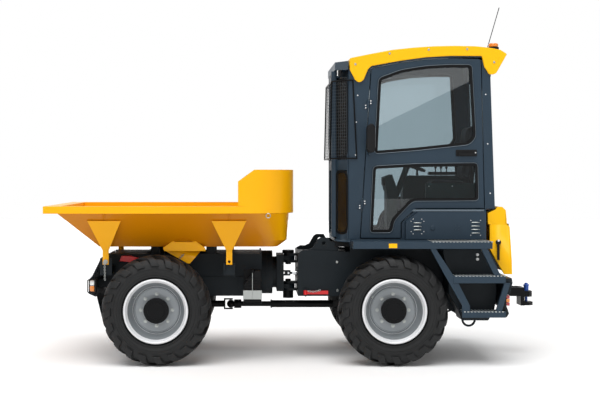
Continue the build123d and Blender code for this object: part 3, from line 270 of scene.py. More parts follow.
def grained(name, colour, rough, grain, depth, spread=0.0, tint=None, **sockets):
    # a finish with a fine relief of the given grain in metres, and a roughness that wanders by spread
    material, tree, surface = newFinish(name, colour, rough, **sockets)
    place = addNode(tree, "ShaderNodeTexCoord")
    noise = addNode(tree, "ShaderNodeTexNoise", {"Scale": 1 / grain, "Detail": 3.0, "Roughness": 0.55},
                    {"Vector": place.outputs["Object"]})
    bump = addNode(tree, "ShaderNodeBump", {"Strength": 1.0, "Distance": depth},
                   {"Height": noise.outputs["Fac"]})
    tree.links.new(bump.outputs["Normal"], surface.inputs["Normal"])
    if spread or tint:
        cloud = addNode(tree, "ShaderNodeTexNoise", {"Scale": 2.2, "Detail": 4.0, "Roughness": 0.6},
                        {"Vector": place.outputs["Object"]})
        if spread:
            limits = {"From Min": 0.3, "From Max": 0.7, "To Min": rough - spread, "To Max": rough + spread}
            wander = addNode(tree, "ShaderNodeMapRange", limits, {"Value": cloud.outputs["Fac"]})
            tree.links.new(wander.outputs["Result"], surface.inputs["Roughness"])
        if tint:
            mix = addNode(tree, "ShaderNodeMix", {"data_type": "RGBA"}, {"Factor": cloud.outputs["Fac"]})
            mix.inputs[6].default_value = linear(colour)
            mix.inputs[7].default_value = linear(tint)
            tree.links.new(mix.outputs[2], surface.inputs["Base Color"])
    return material


def withPaintedShade(material, shadow):
    # painted shade: faces that lean down over the wheels are mixed, by their object-space normal, towards a deeper
    # tone of the same paint, standing in for the light they miss
    tree = material.node_tree
    surface = next(node for node in tree.nodes if node.type == "BSDF_PRINCIPLED")
    unshadedColour = surface.inputs["Base Color"].links[0].from_socket
    place = addNode(tree, "ShaderNodeTexCoord")
    facing = addNode(tree, "ShaderNodeSeparateXYZ", {}, {"Vector": place.outputs["Normal"]})
    limits = {"From Min": -0.4, "From Max": -0.75, "To Min": 0.0, "To Max": 0.85}
    amount = addNode(tree, "ShaderNodeMapRange", limits, {"Value": facing.outputs["Z"]})
    mix = addNode(tree, "ShaderNodeMix", {"data_type": "RGBA"}, {"Factor": amount.outputs["Result"]})
    tree.links.new(unshadedColour, mix.inputs[6])
    mix.inputs[7].default_value = linear(shadow)
    tree.links.new(mix.outputs[2], surface.inputs["Base Color"])
    return material


def wovenCloth(name, colour, thread):
    # seat cloth: a plain weave, drawn at 4 mm because the real 1 mm thread would not show
    material, tree, surface = newFinish(name, colour, 0.92, **{"Sheen Weight": 0.25, "Sheen Roughness": 0.5})
    place = addNode(tree, "ShaderNodeTexCoord")
    waves = []
    for direction in ("X", "Y"):
        waves.append(addNode(tree, "ShaderNodeTexWave",
                             {"bands_direction": direction, "Scale": 1 / thread / 3.14, "Distortion": 0.4},
                             {"Vector": place.outputs["Object"]}))
    both = addNode(tree, "ShaderNodeMath", {"operation": "MAXIMUM"})
    tree.links.new(waves[0].outputs["Fac"], both.inputs[0])
    tree.links.new(waves[1].outputs["Fac"], both.inputs[1])
    bump = addNode(tree, "ShaderNodeBump", {"Strength": 0.8, "Distance": 0.0006}, {"Height": both.outputs[0]})
    tree.links.new(bump.outputs["Normal"], surface.inputs["Normal"])
    return material


finishes = {
    # two-coat polyurethane paint on sheet steel: full gloss with a faint orange peel; its down-facing faces carry
    # painted shade in a deeper amber
    "yellowPaint": withPaintedShade(grained("yellowPaint", "#FFB800", 0.34, 9 * mm, 0.00005, 0.05, tint="#FCB200",
                                  **{"Coat Weight": 0.12, "Coat Roughness": 0.12, "Specular IOR Level": 0.22}),
                          "#B46400"),
    # moulded glass-fibre roof in the same yellow, a little softer in its shine
    "yellowMoulding": grained("yellowMoulding", "#FFC200", 0.4, 6 * mm, 0.00006, 0.04, tint="#FFBE00",
                              **{"Coat Weight": 0.1, "Coat Roughness": 0.2, "Specular IOR Level": 0.2}),
    # powder coat in anthracite: satin, with the fine grain that powder leaves
    "anthracitePaint": grained("anthracitePaint", "#293B4A", 0.42, 3 * mm, 0.00004, 0.05, tint="#253542",
                               **{"Coat Weight": 0.05, "Coat Roughness": 0.25, "Specular IOR Level": 0.28}),
    # the same powder coat on frame plates, in a darker, duller tone
    "framePaint": grained("framePaint", "#161F25", 0.5, 3 * mm, 0.00005, 0.08, tint="#11191E",
                          **{"Specular IOR Level": 0.25}),
    # black chassis enamel on castings
    "blackPaint": grained("blackPaint", "#0A0B0D", 0.45, 5 * mm, 0.00012, 0.08,
                          **{"Specular IOR Level": 0.16}),
    "redPaint": grained("redPaint", "#E0161C", 0.35, 6 * mm, 0.00004, 0.04,
                        **{"Coat Weight": 0.3, "IOR": 1.5}),
    # silver wheel enamel: aluminium flake under a satin lacquer
    "silverPaint": grained("silverPaint", "#9EA3A7", 0.38, 2 * mm, 0.00003, 0.06, tint="#8F9599",
                           **{"Metallic": 0.35, "Coat Weight": 0.2, "Coat Roughness": 0.3}),
    # near-white rim edge: painted highlight on the rolled flange, its inner ring and its seat
    "rimEdgeHighlight": grained("rimEdgeHighlight", "#E6E7E9", 0.3, 2 * mm, 0.00003, 0.04, **{"Metallic": 0.15}),
    # zinc-plated steel, passivated
    "zincPlate": grained("zincPlate", "#B7BBB9", 0.32, 4 * mm, 0.00004, 0.08, **{"Metallic": 1.0}),
    # hard chrome on piston rods
    "hardChrome": newFinish("hardChrome", "#C9CCD0", 0.08, **{"Metallic": 1.0})[0],
    # tyre rubber, carbon black: very dull, with moulding grain
    "tyreRubber": grained("tyreRubber", "#18191A", 0.6, 4 * mm, 0.0003, 0.08, tint="#121314",
                          **{"Specular IOR Level": 0.4}),
    "sealRubber": grained("sealRubber", "#0B0C0E", 0.6, 2 * mm, 0.0001, **{"Specular IOR Level": 0.2}),
    # injection-moulded ABS with a spark-eroded texture
    "blackPlastic": grained("blackPlastic", "#0F1012", 0.5, 1.5 * mm, 0.00008, 0.05,
                            **{"Specular IOR Level": 0.25}),
    "greyPlastic": grained("greyPlastic", "#4A4F52", 0.55, 1.5 * mm, 0.00008, 0.05, **{"IOR": 1.53}),
    "greenPlastic": grained("greenPlastic", "#1B3A38", 0.5, 1.5 * mm, 0.00008, 0.05,
                            **{"Specular IOR Level": 0.3}),
    "whitePlastic": newFinish("whitePlastic", "#E9EAEA", 0.35, **{"IOR": 1.5})[0],
    "bluePlastic": newFinish("bluePlastic", "#1F4FA8", 0.35, **{"IOR": 1.5})[0],
    # toughened cab glass with a light grey-green tint
    "cabGlass": newFinish("cabGlass", "#BCC9CE", 0.0, **{"IOR": 1.52, "Transmission Weight": 1.0})[0],
    # smoked acrylic of the corner look-outs
    "smokedGlass": newFinish("smokedGlass", "#23211F", 0.05, **{"IOR": 1.49, "Alpha": 0.78})[0],
    # wire mesh in a mid grey: partly the wires' own dark grey, partly painted highlight for the light the wires
    # catch against the dark glass
    "meshGreyAndHighlight": grained("meshGreyAndHighlight", "#3B444B", 0.45, 2 * mm, 0.00003, 0.05),
    # the pressed lips round the windows and the cover tops: a lighter, part-metallic grey, partly a thin worn coat
    # and partly painted highlight for the light these edges catch
    "lipWearAndHighlight": newFinish("lipWearAndHighlight", "#66737D", 0.3, **{"Metallic": 0.3})[0],
    "mirrorGlass": newFinish("mirrorGlass", "#D5DADD", 0.02, **{"Metallic": 1.0})[0],
    # clear and coloured polycarbonate lenses
    "clearLens": newFinish("clearLens", "#F1F3F2", 0.12, **{"IOR": 1.58, "Coat Weight": 1.0})[0],
    "amberLens": newFinish("amberLens", "#F08A12", 0.15, **{"IOR": 1.58, "Coat Weight": 1.0})[0],
    "redLens": newFinish("redLens", "#A80F14", 0.15, **{"IOR": 1.58, "Coat Weight": 1.0})[0],
    "seatCloth": wovenCloth("seatCloth", "#26282C", 4 * mm),
    "floorMat": grained("floorMat", "#17191A", 0.8, 8 * mm, 0.0006),
}
print("finishes made:", len(finishes))

nodeFinish = {
    "anthracitePaint": ["step_frames", "cab_frame", "door_frame", "side_panels"],
    "framePaint": ["rear_chassis", "tanks", "rear_bumper", "centre_link", "front_chassis", "front_bumper"],
    "blackPaint": ["articulation_pins", "rear_axle", "front_axle", "engine", "tow_hitch", "steering_barrel",
                   "window_guard", "ram_barrel", "drive_shaft", "brake_pedal", "throttle_pedal"],
    "yellowPaint": ["skip_body", "skip_brackets", "hood"],
    "yellowMoulding": ["roof_cap"],
    "redPaint": ["skip_prop", "lock_bar"],
    "zincPlate": ["hinges_and_bolts", "lock_pins", "joint_cross"],
    "hardChrome": ["ram_stage", "ram_rod", "steering_rod"],
    "cabGlass": ["cab_glass", "door_glass"],
    "clearLens": ["lamps", "front_lamps"],
    "amberLens": ["beacon"],
    "blackPlastic": ["antenna", "console", "door_handle", "mirror_left", "mirror_right", "hood_latch",
                     "steering_wheel", "seat_shell", "joystick", "wiper"],
    "bluePlastic": ["hitch_pin"],
    "sealRubber": ["wheel_chock"],
    "seatCloth": ["seat_cushion", "seat_back"],
    "tyreRubber": ["tyre_front_left", "tyre_front_right", "tyre_rear_left", "tyre_rear_right"],
    "silverPaint": ["rim_front_left", "rim_front_right", "rim_rear_left", "rim_rear_right"],
}
for finishName, members in nodeFinish.items():
    for member in members:
        for holder in nodes[member].material_slots:
            holder.material = finishes[finishName]


def welded(node, name, bevel, segments=2, crease=50):
    # a copy of a frame node with its touching solids run together into one skin, its edges eased
    twin = nodes[node].copy()
    twin.data = nodes[node].data.copy()
    bpy.context.scene.collection.objects.link(twin)
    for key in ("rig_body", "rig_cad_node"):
        if key in twin:
            del twin[key]
    twin.parent = None
    twin.name = name
    twin.data.name = name
    take(twin)
    bpy.ops.object.mode_set(mode="EDIT")
    bpy.ops.mesh.select_all(action="SELECT")
    bpy.ops.mesh.remove_doubles(threshold=0.00002)
    bpy.ops.mesh.separate(type="LOOSE")
    bpy.ops.object.mode_set(mode="OBJECT")
    whole, *others = bpy.context.selected_objects
    if others:
        take(others[0], *others[1:])
        if len(others) > 1:
            bpy.ops.object.join()
        rest = bpy.context.object
        finish(whole, "BOOLEAN", operation="UNION", solver="EXACT", use_self=True, object=rest)
        bpy.data.objects.remove(rest)
    whole.name = name
    whole.data.name = name
    take(whole)
    bpy.ops.object.mode_set(mode="EDIT")
    bpy.ops.mesh.select_all(action="SELECT")
    bpy.ops.mesh.remove_doubles(threshold=0.00005)
    bpy.ops.mesh.dissolve_limited(angle_limit=radians(0.5))
    bpy.ops.object.mode_set(mode="OBJECT")
    return soften(whole, bevel, segments, crease=crease)


# wheels

wheelSizes = {"places": {"front": -1405 * mm, "rear": 940 * mm}, "track": 850 * mm, "axleHeight": 545 * mm,
              "tyreRadius": 545 * mm, "tyreBase": 508 * mm, "baseHalf": 150 * mm, "lugs": 20, "lugSweep": 0.30,
              "rimRadius": 318 * mm, "rimHalf": 195 * mm, "nuts": 8, "nutCircle": 157 * mm, "nutIn": 160 * mm,
              "stemCircle": 262 * mm, "stemAngle": 148, "hubRadius": 126 * mm, "hubEnd": 985 * mm,
              "capBolts": 9, "capCircle": 106 * mm, "drumRadius": 225 * mm}
# each ring of the near-white edge, a painted highlight, is (radius, how far in from the rim's face, thickness)
flangeKit = {"rings": ((wheelSizes["rimRadius"] - 10 * mm, 3 * mm, 12 * mm), (238 * mm, 157 * mm, 3 * mm)),
             "inner": 281 * mm, "outer": 304 * mm, "depth": 32 * mm, "middleIn": 17 * mm, "wall": 1.5 * mm}
# each step is (how far in from the last ring, how far outwards), from the tread's edge to the bead
tyreWall = [(14, 12), (14, 12), (18, 10), (22, 8), (18, 5), (2, 3), (5, 0), (2, -3), (20, 1), (2, 3), (5, 0),
            (2, -3), (30, -8), (3, 6), (10, 0), (5, -9), (8, -12), (18, -14)]
rimOutside = [(3, 3), (6, 0), (4, -6), (12, -12), (12, -20), (3, -42), (17, -30), (10, -26), (12, -20), (8, -10),
              (5, 8), (4, 3), (5, 0), (5, -5), (60, -2), (3, -1)]
rimInside = [(8, 0), (6, -12), (8, -60), (30, -40), (12, -60)]


def turnedDisc(name, radius, half, wallSteps, backSteps, sides):
    # a drum on the Y axis whose two faces are stepped inwards ring by ring
    obj = rod(name, (0, half, 0), (0, -half, 0), radius, sides=sides)
    for direction, steps in ((-1, wallSteps), (1, backSteps)):
        pick(obj, lambda face: face.normal.y * direction > 0.99 and len(face.vertices) > 8)
        for inward, outwardStep in steps:
            bpy.ops.mesh.inset(thickness=inward * mm, depth=outwardStep * mm, use_boundary=True)
        shut()
    return smooth(obj, radians(40))


def treadLug(name):
    s = wheelSizes
    bpy.ops.object.select_all(action="DESELECT")
    bpy.ops.mesh.primitive_cube_add(size=2)
    obj = settle(bpy.context.object, name)
    pick(obj, lambda face: True)
    bpy.ops.mesh.subdivide(number_cuts=5)
    shut()
    across = [(0, -12), (0.2, 40), (0.4, 92), (0.6, 142), (0.75, 176), (0.88, 199), (1, 209)]
    crown = [(0, 545), (0.2, 544), (0.4, 541), (0.6, 534), (0.75, 521), (0.88, 496), (1, 448)]
    root = [(0, 500), (0.6, 500), (0.75, 488), (1, 436)]
    for vertex in obj.data.vertices:
        u, v, w = vertex.co
        share = (u + 1) / 2
        lift = (w + 1) / 2
        y = along(across, share) * mm - (1 - lift) * 0.034 * max(0, share - 0.5) * 2
        radius = (along(root, share) * (1 - lift) + along(crown, share) * lift) * mm
        halfWidth = (27 + 9 * share) * mm + (1 - lift) * 7 * mm
        angle = s["lugSweep"] * share ** 0.85 + v * halfWidth / radius
        vertex.co = (radius * sin(angle), -y, radius * cos(angle))
    outward(obj)
    return soften(obj, 3 * mm, 1, 40)


def along(points, share):
    for (a, low), (b, high) in zip(points, points[1:]):
        if share <= b:
            return low + (high - low) * (share - a) / (b - a)
    return points[-1][1]


def makeTyre():
    s = wheelSizes
    body = turnedDisc("tyre", s["tyreBase"], s["baseHalf"], tyreWall, tyreWall, 80)
    pick(body, lambda face: abs(face.normal.y) > 0.99 and len(face.vertices) > 8)
    bpy.ops.mesh.delete(type="FACE")
    shut()
    # the two open beads are bridged into the inner wall
    take(body)
    bpy.ops.object.mode_set(mode="EDIT")
    bpy.ops.mesh.select_mode(type="EDGE")
    bpy.ops.mesh.select_all(action="DESELECT")
    bpy.ops.mesh.select_non_manifold()
    bpy.ops.mesh.bridge_edge_loops()
    bpy.ops.object.mode_set(mode="OBJECT")
    outward(body)
    smooth(body, radians(40))
    lug = treadLug("lug")
    parts = [body]
    for i in range(s["lugs"]):
        turn = Matrix.Rotation(2 * pi * i / s["lugs"], 4, "Y")
        parts.append(copied(lug, "lugLeft", turn))
        halfTurn = Matrix.Rotation(2 * pi * (i + 0.5) / s["lugs"], 4, "Y")
        parts.append(copied(lug, "lugRight", halfTurn @ Matrix.Scale(-1, 4, (0, 1, 0))))
    bpy.data.objects.remove(lug)
    return joined("tyre", parts)


def makeRim():
    s = wheelSizes
    return turnedDisc("rim", s["rimRadius"], s["rimHalf"], rimOutside, rimInside, 80)


def makeFlange():
    # the rolled outer edge of the rim, in a near-white finish: painted highlight for the light this edge catches
    f = flangeKit
    face = wheelSizes["rimHalf"]
    parts = []
    for radius, inward, thick in f["rings"]:
        bpy.ops.object.select_all(action="DESELECT")
        bpy.ops.mesh.primitive_torus_add(major_segments=80, minor_segments=10, major_radius=radius,
                                         minor_radius=thick, location=(0, -(face - inward), 0),
                                         rotation=(radians(90), 0, 0))
        parts.append(smooth(settle(bpy.context.object, "edge"), radians(60)))
    bpy.ops.object.select_all(action="DESELECT")
    bpy.ops.mesh.primitive_cone_add(vertices=80, radius1=f["inner"], radius2=f["outer"], depth=f["depth"],
                                    end_fill_type="NOTHING", location=(0, -(face - f["middleIn"]), 0),
                                    rotation=(radians(90), 0, 0))
    seat = settle(bpy.context.object, "seat")
    finish(seat, "SOLIDIFY", thickness=f["wall"], offset=0)
    parts.append(smooth(outward(seat), radians(60)))
    return joined("flange", parts)


def makeNuts():
    s = wheelSizes
    face = -(s["rimHalf"] - s["nutIn"])
    parts = []
    for i in range(s["nuts"]):
        angle = pi / 2 + 2 * pi * i / s["nuts"]
        x, z = s["nutCircle"] * cos(angle), s["nutCircle"] * sin(angle)
        parts.append(rod("washer", (x, face + 8 * mm, z), (x, face - 4 * mm, z), 19 * mm, 20, 1 * mm))
        parts.append(rod("nut", (x, face, z), (x, face - 20 * mm, z), 15 * mm, 6, 1.2 * mm))
        parts.append(rod("stud", (x, face, z), (x, face - 29 * mm, z), 8 * mm, 12, 1 * mm))
    stem = radians(s["stemAngle"])
    x, z = s["stemCircle"] * cos(stem), s["stemCircle"] * sin(stem)
    parts.append(rod("valve", (x, -60 * mm, z), (x * 0.96, -125 * mm, z * 0.96), 6 * mm, 12, 1 * mm))
    parts.append(rod("valveNut", (x, -70 * mm, z), (x * 0.99, -86 * mm, z * 0.99), 11 * mm, 6, 1 * mm))
    return joined("nuts", parts)


def makeHub():
    s = wheelSizes
    end = -(s["hubEnd"] - s["track"])
    parts = [rod("hubBody", (0, end + 22 * mm, 0), (0, 30 * mm, 0), s["hubRadius"] - 6 * mm, 48),
             rod("hubCap", (0, end, 0), (0, end + 40 * mm, 0), s["hubRadius"], 48, 5 * mm),
             rod("hubPlate", (0, end - 5 * mm, 0), (0, end + 4 * mm, 0), 84 * mm, 40, 3 * mm)]
    for i in range(s["capBolts"]):
        angle = 2 * pi * i / s["capBolts"] + 0.2
        x, z = s["capCircle"] * cos(angle), s["capCircle"] * sin(angle)
        parts.append(rod("capBolt", (x, end - 5 * mm, z), (x, end + 6 * mm, z), 6.5 * mm, 6, 0.8 * mm))
    parts.append(rod("drumBack", (0, 20 * mm, 0), (0, 105 * mm, 0), s["drumRadius"], 48, 8 * mm))
    return joined("hub", parts)


wheelKit = {"tyre": (makeTyre(), "tyreRubber", "tyre"), "rim": (makeRim(), "silverPaint", "paint_silver"),
            "flange": (makeFlange(), "rimEdgeHighlight", "paint_silver"), "nuts": (makeNuts(), "zincPlate", "zinc"),
            "hub": (makeHub(), "blackPaint", "paint_black")}
for place, x in wheelSizes["places"].items():
    for side, sign in (("left", -1), ("right", 1)):
        spot = Matrix.Translation((x, sign * wheelSizes["track"], wheelSizes["axleHeight"]))
        if sign > 0:
            spot = spot @ Matrix.Scale(-1, 4, (0, 1, 0))
        for kind, (piece, finishName, slotName) in wheelKit.items():
            made = copied(piece, f"{kind}_{place}_{side}_piece", spot)
            stands = [f"{kind}_{place}_{side}"] if kind in ("tyre", "rim") else []
            put(made, f"wheel_{place}_{side}", finishName, slotName, *stands)
for piece, _, _ in wheelKit.values():
    bpy.data.objects.remove(piece)
print("wheels made")


# painted panels with eased edges, each a welded copy of its frame node

panelKit = {
    # node: (body, finish, slot, edge in mm, segments, angle up to which faces run together)
    "skip_body": ("skip", "yellowPaint", "paint_yellow", 3, 1, 16),
    "skip_brackets": ("skip", "yellowPaint", "paint_yellow", 1.5, 2),
    "hood": ("hood", "yellowMoulding", "paint_yellow", 7, 3),
    "cab_frame": ("rear_frame", "anthracitePaint", "paint_grey", 2, 1),
    "hinges_and_bolts": ("rear_frame", "anthracitePaint", "zinc", 1, 1),
    "side_panels": ("rear_frame", "anthracitePaint", "paint_grey", 6, 2),
    "step_frames": ("rear_frame", "anthracitePaint", "paint_grey", 2, 2),
    "tanks": ("rear_frame", "framePaint", "paint_grey", 10, 2),
    "rear_bumper": ("rear_frame", "framePaint", "paint_grey", 4, 2),
    "front_bumper": ("front_frame", "framePaint", "paint_grey", 2, 2),
    "front_chassis": ("front_frame", "framePaint", "paint_grey", 1.5, 2),
    "rear_chassis": ("rear_frame", "framePaint", "paint_grey", 1.5, 2),
    "centre_link": ("centre_link", "framePaint", "paint_grey", 3, 2),
    "mirror_left": ("mirror_left", "blackPlastic", "plastic_black", 14, 3),
    "mirror_right": ("mirror_right", "blackPlastic", "plastic_black", 14, 3),
    "seat_shell": ("seat", "blackPlastic", "plastic_black", 12, 3),
    "skip_prop": ("front_frame", "redPaint", "paint_red", 4, 2),
    "tow_hitch": ("rear_frame", "blackPaint", "paint_black", 4, 2),
}
for node, (body, finishName, slotName, edge, *rest) in panelKit.items():
    put(welded(node, node + "_panels", edge * mm, *rest), body, finishName, slotName, node)
print("panels eased")


# cab outlines, in mm as (x, z), the same as the frame's

doorOutline = [(749, 2962), (1047, 3020), (1298, 3052), (1550, 3064), (1839, 3060), (1856, 3040),
               (1889, 1545), (1201, 1545), (1047, 1406), (1047, 1247), (640, 1247)]
upperWindow = [(816, 2867), (1047, 2952), (1298, 2992), (1550, 3006), (1768, 3004), (1808, 2263), (1738, 2187),
               (1201, 2129), (775, 2095)]
lowerWindow = [(762, 1978), (1201, 2003), (1826, 2012), (1835, 1621), (1168, 1617), (984, 1425),
               (958, 1298), (729, 1298)]
cabSkin = 640 * mm
cabInner = 594 * mm
doorSkin = 648 * mm
doorInner = 603 * mm
hingeSpots = [(717, 2600), (656, 1587)]
stalk = (722 * mm, -790 * mm)


def inMetres(outline):
    return [(x * mm, z * mm) for x, z in outline]


def roundedOutline(outline, radius, steps=5):
    # the outline in metres, with every corner turned by a curve
    found = []
    count = len(outline)
    for i, corner in enumerate(outline):
        here = Vector(corner)
        back = (Vector(outline[i - 1]) - here)
        ahead = (Vector(outline[(i + 1) % count]) - here)
        reach = min(radius, back.length * 0.45, ahead.length * 0.45)
        start, end = here + back.normalized() * reach, here + ahead.normalized() * reach
        for k in range(steps + 1):
            t = k / steps
            found.append(start * (1 - t) ** 2 + here * 2 * t * (1 - t) + end * t ** 2)
    return [(p.x * mm, p.y * mm) for p in found]


def windowSeal(name, outline, width, y, thick, radius=48):
    # rubber frame: a flat outline inset by its width, the middle taken out, then thickened
    points = roundedOutline(outline, radius)
    bpy.ops.object.select_all(action="DESELECT")
    bpy.ops.mesh.primitive_circle_add(vertices=len(points), radius=1, fill_type="NGON")
    obj = bpy.context.object
    for vertex, (x, z) in zip(obj.data.vertices, points):
        vertex.co = (x, y, z)
    settle(obj, name)
    pick(obj, lambda face: True)
    bpy.ops.mesh.inset(thickness=width, depth=0)
    bpy.ops.mesh.delete(type="FACE")
    shut()
    outward(obj)
    finish(obj, "SOLIDIFY", thickness=thick, offset=0)
    outward(obj)
    return soften(obj, thick * 0.35, 2)


def framePlate(name, outline, holes, low, high, edge, corner=0):
    # a side plate with rounded windows cut through it, its edges eased
    sheet = plate(name, roundedOutline(outline, corner) if corner else inMetres(outline), low, high)
    for hole, radius in holes:
        cutAway(sheet, plate("cutter", roundedOutline(hole, radius), low - 0.1, high + 0.1))
    return soften(sheet, edge, 3)


def doorShell():
    x, y = stalk
    bend = (x, y, 2095 * mm)
    parts = [framePlate("doorPlate", doorOutline, [(upperWindow, 48), (lowerWindow, 48)], -doorSkin, -doorInner,
                        6 * mm, 10)]
    parts.append(rod("stalk", (x, -doorSkin + 4 * mm, 2095 * mm), bend, 10 * mm))
    parts.append(ball("stalkEnd", bend, 10 * mm))
    parts.append(rod("stalkTop", bend, (x, y, 2108 * mm), 10 * mm))
    parts.append(block("stalkFoot", (702 * mm, -doorSkin - 8 * mm, 2068 * mm),
                       (742 * mm, -doorSkin + 2 * mm, 2122 * mm), 3 * mm))
    for x, z in hingeSpots:
        hingeX = x - 4
        parts.append(block("leaf", ((hingeX + 3) * mm, -doorSkin - 6 * mm, (z + 2) * mm),
                           ((hingeX + 56) * mm, -doorSkin + 1 * mm, (z + 40) * mm), 1.5 * mm))
        parts.append(rod("barrel", ((hingeX + 0.1) * mm, -660 * mm, (z + 2) * mm),
                         ((hingeX + 2.4) * mm, -660 * mm, (z + 40) * mm), 11 * mm))
    return joined("door_shell", parts)


put(doorShell(), "door", "anthracitePaint", "paint_grey", "door_frame")
sideOutline = [(522, 1235), (522, 2952), (737, 3002), (1047, 3056), (1298, 3098), (1550, 3115),
               (1850, 3122), (1958, 3100), (1952, 2900), (1998, 1545), (1907, 1545), (1907, 1235)]
doorHole = [(741, 2969), (1046, 3028), (1297, 3060), (1550, 3072), (1843, 3068), (1864, 3042),
            (1897, 1537), (1204, 1537), (1055, 1403), (1055, 1239), (631, 1239)]
leftSide = framePlate("sideLeft", sideOutline, [(doorHole, 12)], -cabSkin - 2 * mm, -cabInner, 5 * mm)
rightSide = framePlate("sideRight", sideOutline, [(upperWindow, 48), (lowerWindow, 48)], cabInner,
                       cabSkin + 2 * mm, 5 * mm)
put(joined("cab_sides", [leftSide, rightSide]), "rear_frame", "anthracitePaint", "paint_grey", "cab_frame")
# header straps that close the sides under the roof's skirt
headerKit = [[(1250, 3066), (1550, 3076), (1550, 3112), (1250, 3092)],
             [(1549, 3076), (1870, 3072), (1870, 3118), (1549, 3112)],
             [(1868, 2880), (1956, 2880), (1958, 3098), (1868, 3116)]]
headers = []
for outline in headerKit:
    for sign in (-1, 1):
        headers.append(plate("header", inMetres(outline), *span(sign, 600, 643), "Y", 0.5 * mm))
put(joined("side_headers", headers), "rear_frame", "anthracitePaint", "paint_grey")


# moulded roof: one shell with drooping corner ears, hollow between its sides

roofKit = {"top": [(528, 3066), (745, 3110), (963, 3150), (1170, 3172), (1382, 3186), (1590, 3190), (1800, 3186),
                   (1930, 3172), (2051, 3150), (2118, 3107)],
           "rearEar": [(2009, 2914), (1975, 2899), (1934, 2903), (1884, 2982), (1862, 3086)],
           "band": [(1550, 3088), (1298, 3074), (1047, 3040), (745, 2985)],
           "frontEar": [(712, 2949), (671, 2850), (640, 2823), (610, 2823), (579, 2850), (528, 2949)],
           "under": [(520, 2988), (963, 3066), (1382, 3108), (1800, 3110), (2051, 3080), (2070, 3060)],
           "edge": 670 * mm, "inside": 642 * mm}
roofOutline = roofKit["top"] + roofKit["rearEar"] + roofKit["band"] + roofKit["frontEar"]
roof = plate("roof_shell", inMetres(roofOutline), -roofKit["edge"], roofKit["edge"])
hollow = inMetres(roofKit["under"] + [(2070, 2700), (500, 2700)])
cutAway(roof, plate("cutter", hollow, -roofKit["inside"], roofKit["inside"]))
soften(roof, 11 * mm, 3, 32)
put(roof, "rear_frame", "yellowMoulding", "paint_yellow", "roof_cap")
print("cab shell made")

seals = {"width": 33 * mm, "thick": 9 * mm}
for name, body, y in (("door_seals", "door", -doorSkin - 1 * mm), ("cab_seals", "rear_frame", cabSkin + 1 * mm)):
    rings = [windowSeal("seal", outline, seals["width"], y, seals["thick"])
             for outline in (upperWindow, lowerWindow)]
    put(joined(name, rings), body, "sealRubber", "rubber")
# the door lips' lighter grey is partly painted highlight
lips = [windowSeal("lip", outline, 5 * mm, -doorSkin - 4 * mm, 8 * mm) for outline in (upperWindow, lowerWindow)]
put(joined("door_lips", lips), "door", "lipWearAndHighlight", "paint_grey")
gap = windowSeal("doorGap", doorOutline, 8 * mm, -cabSkin + 6 * mm, 12 * mm, 20)
put(gap, "door", "sealRubber", "rubber")
print("seals made")


# rivets, screws and hinge screws

def studs(name, spots, radius, rise, sides=12):
    # a domed head at each (x, y, z), standing out on the side that y is on
    parts = []
    for x, y, z in spots:
        sign = -1 if y < 0 else 1
        head = rod(name, (x, y - sign * 2 * mm, z), (x, y + sign * rise, z), radius, sides)
        parts.append(soften(head, rise * 0.4, 2))
    return joined(name, parts)


doorDots, frameDots = [], []
for x, z in hingeSpots:
    for i in (-1, 1):
        doorDots.append(((x + 24) * mm, -doorSkin - 7 * mm, (z + 21 + 12 * i) * mm))
        frameDots.append(((x - 26) * mm, -cabSkin - 8 * mm, (z - 24 + 12 * i) * mm))
put(studs("door_hinge_screws", doorDots, 7 * mm, 4 * mm), "door", "whitePlastic", "zinc")
frameDots += [(610 * mm, -cabSkin - 2 * mm, 2690 * mm), (596 * mm, -cabSkin, 2420 * mm),
              (590 * mm, -cabSkin, 2087 * mm), (1905 * mm, -cabSkin, 2700 * mm),
              (1925 * mm, -cabSkin, 2200 * mm), (1950 * mm, -cabSkin, 1700 * mm)]
frameDots += [(x, -y, z) for x, y, z in frameDots[4:]]
roofSpots = [(584, 3003), (930, 3112), (1324, 3150), (1713, 3156), (1985, 3023)]
put(studs("roof_bolts", [(x * mm, s * 670 * mm, z * mm) for x, z in roofSpots for s in (-1, 1)], 12 * mm, 7 * mm),
    "rear_frame", "zincPlate", "zinc")
frameDots += [((1613 + 17 * i) * mm, s * 700 * mm, (1351 + 17 * j) * mm)
              for i in (-1, 1) for j in (-1, 1) for s in (-1, 1)]
put(studs("cab_screws", frameDots, 7 * mm, 4 * mm), "rear_frame", "whitePlastic", "zinc")


# side covers: louvres with their screws, cap and plain label

coverSkin = 700 * mm
louvreKit = {"front": (1207, (1402, 1366, 1331), 89, ((64, 52), (43, 74))),
             "rear": (1793, (1406, 1370, 1335, 1299), 91, ((49, 75),))}


def louvre(name, x, z, length, y):
    # a hooded slot: the upper part of a long flattened ball
    slat = ball(name, (x, y, z), 1, (length / 2, 9 * mm, 7 * mm), 20)
    pick(slat, lambda face: True)
    bpy.ops.mesh.bisect(plane_co=(x, y, z - 2 * mm), plane_no=(0, 0, -1), use_fill=True, clear_outer=True)
    shut()
    return outward(slat)


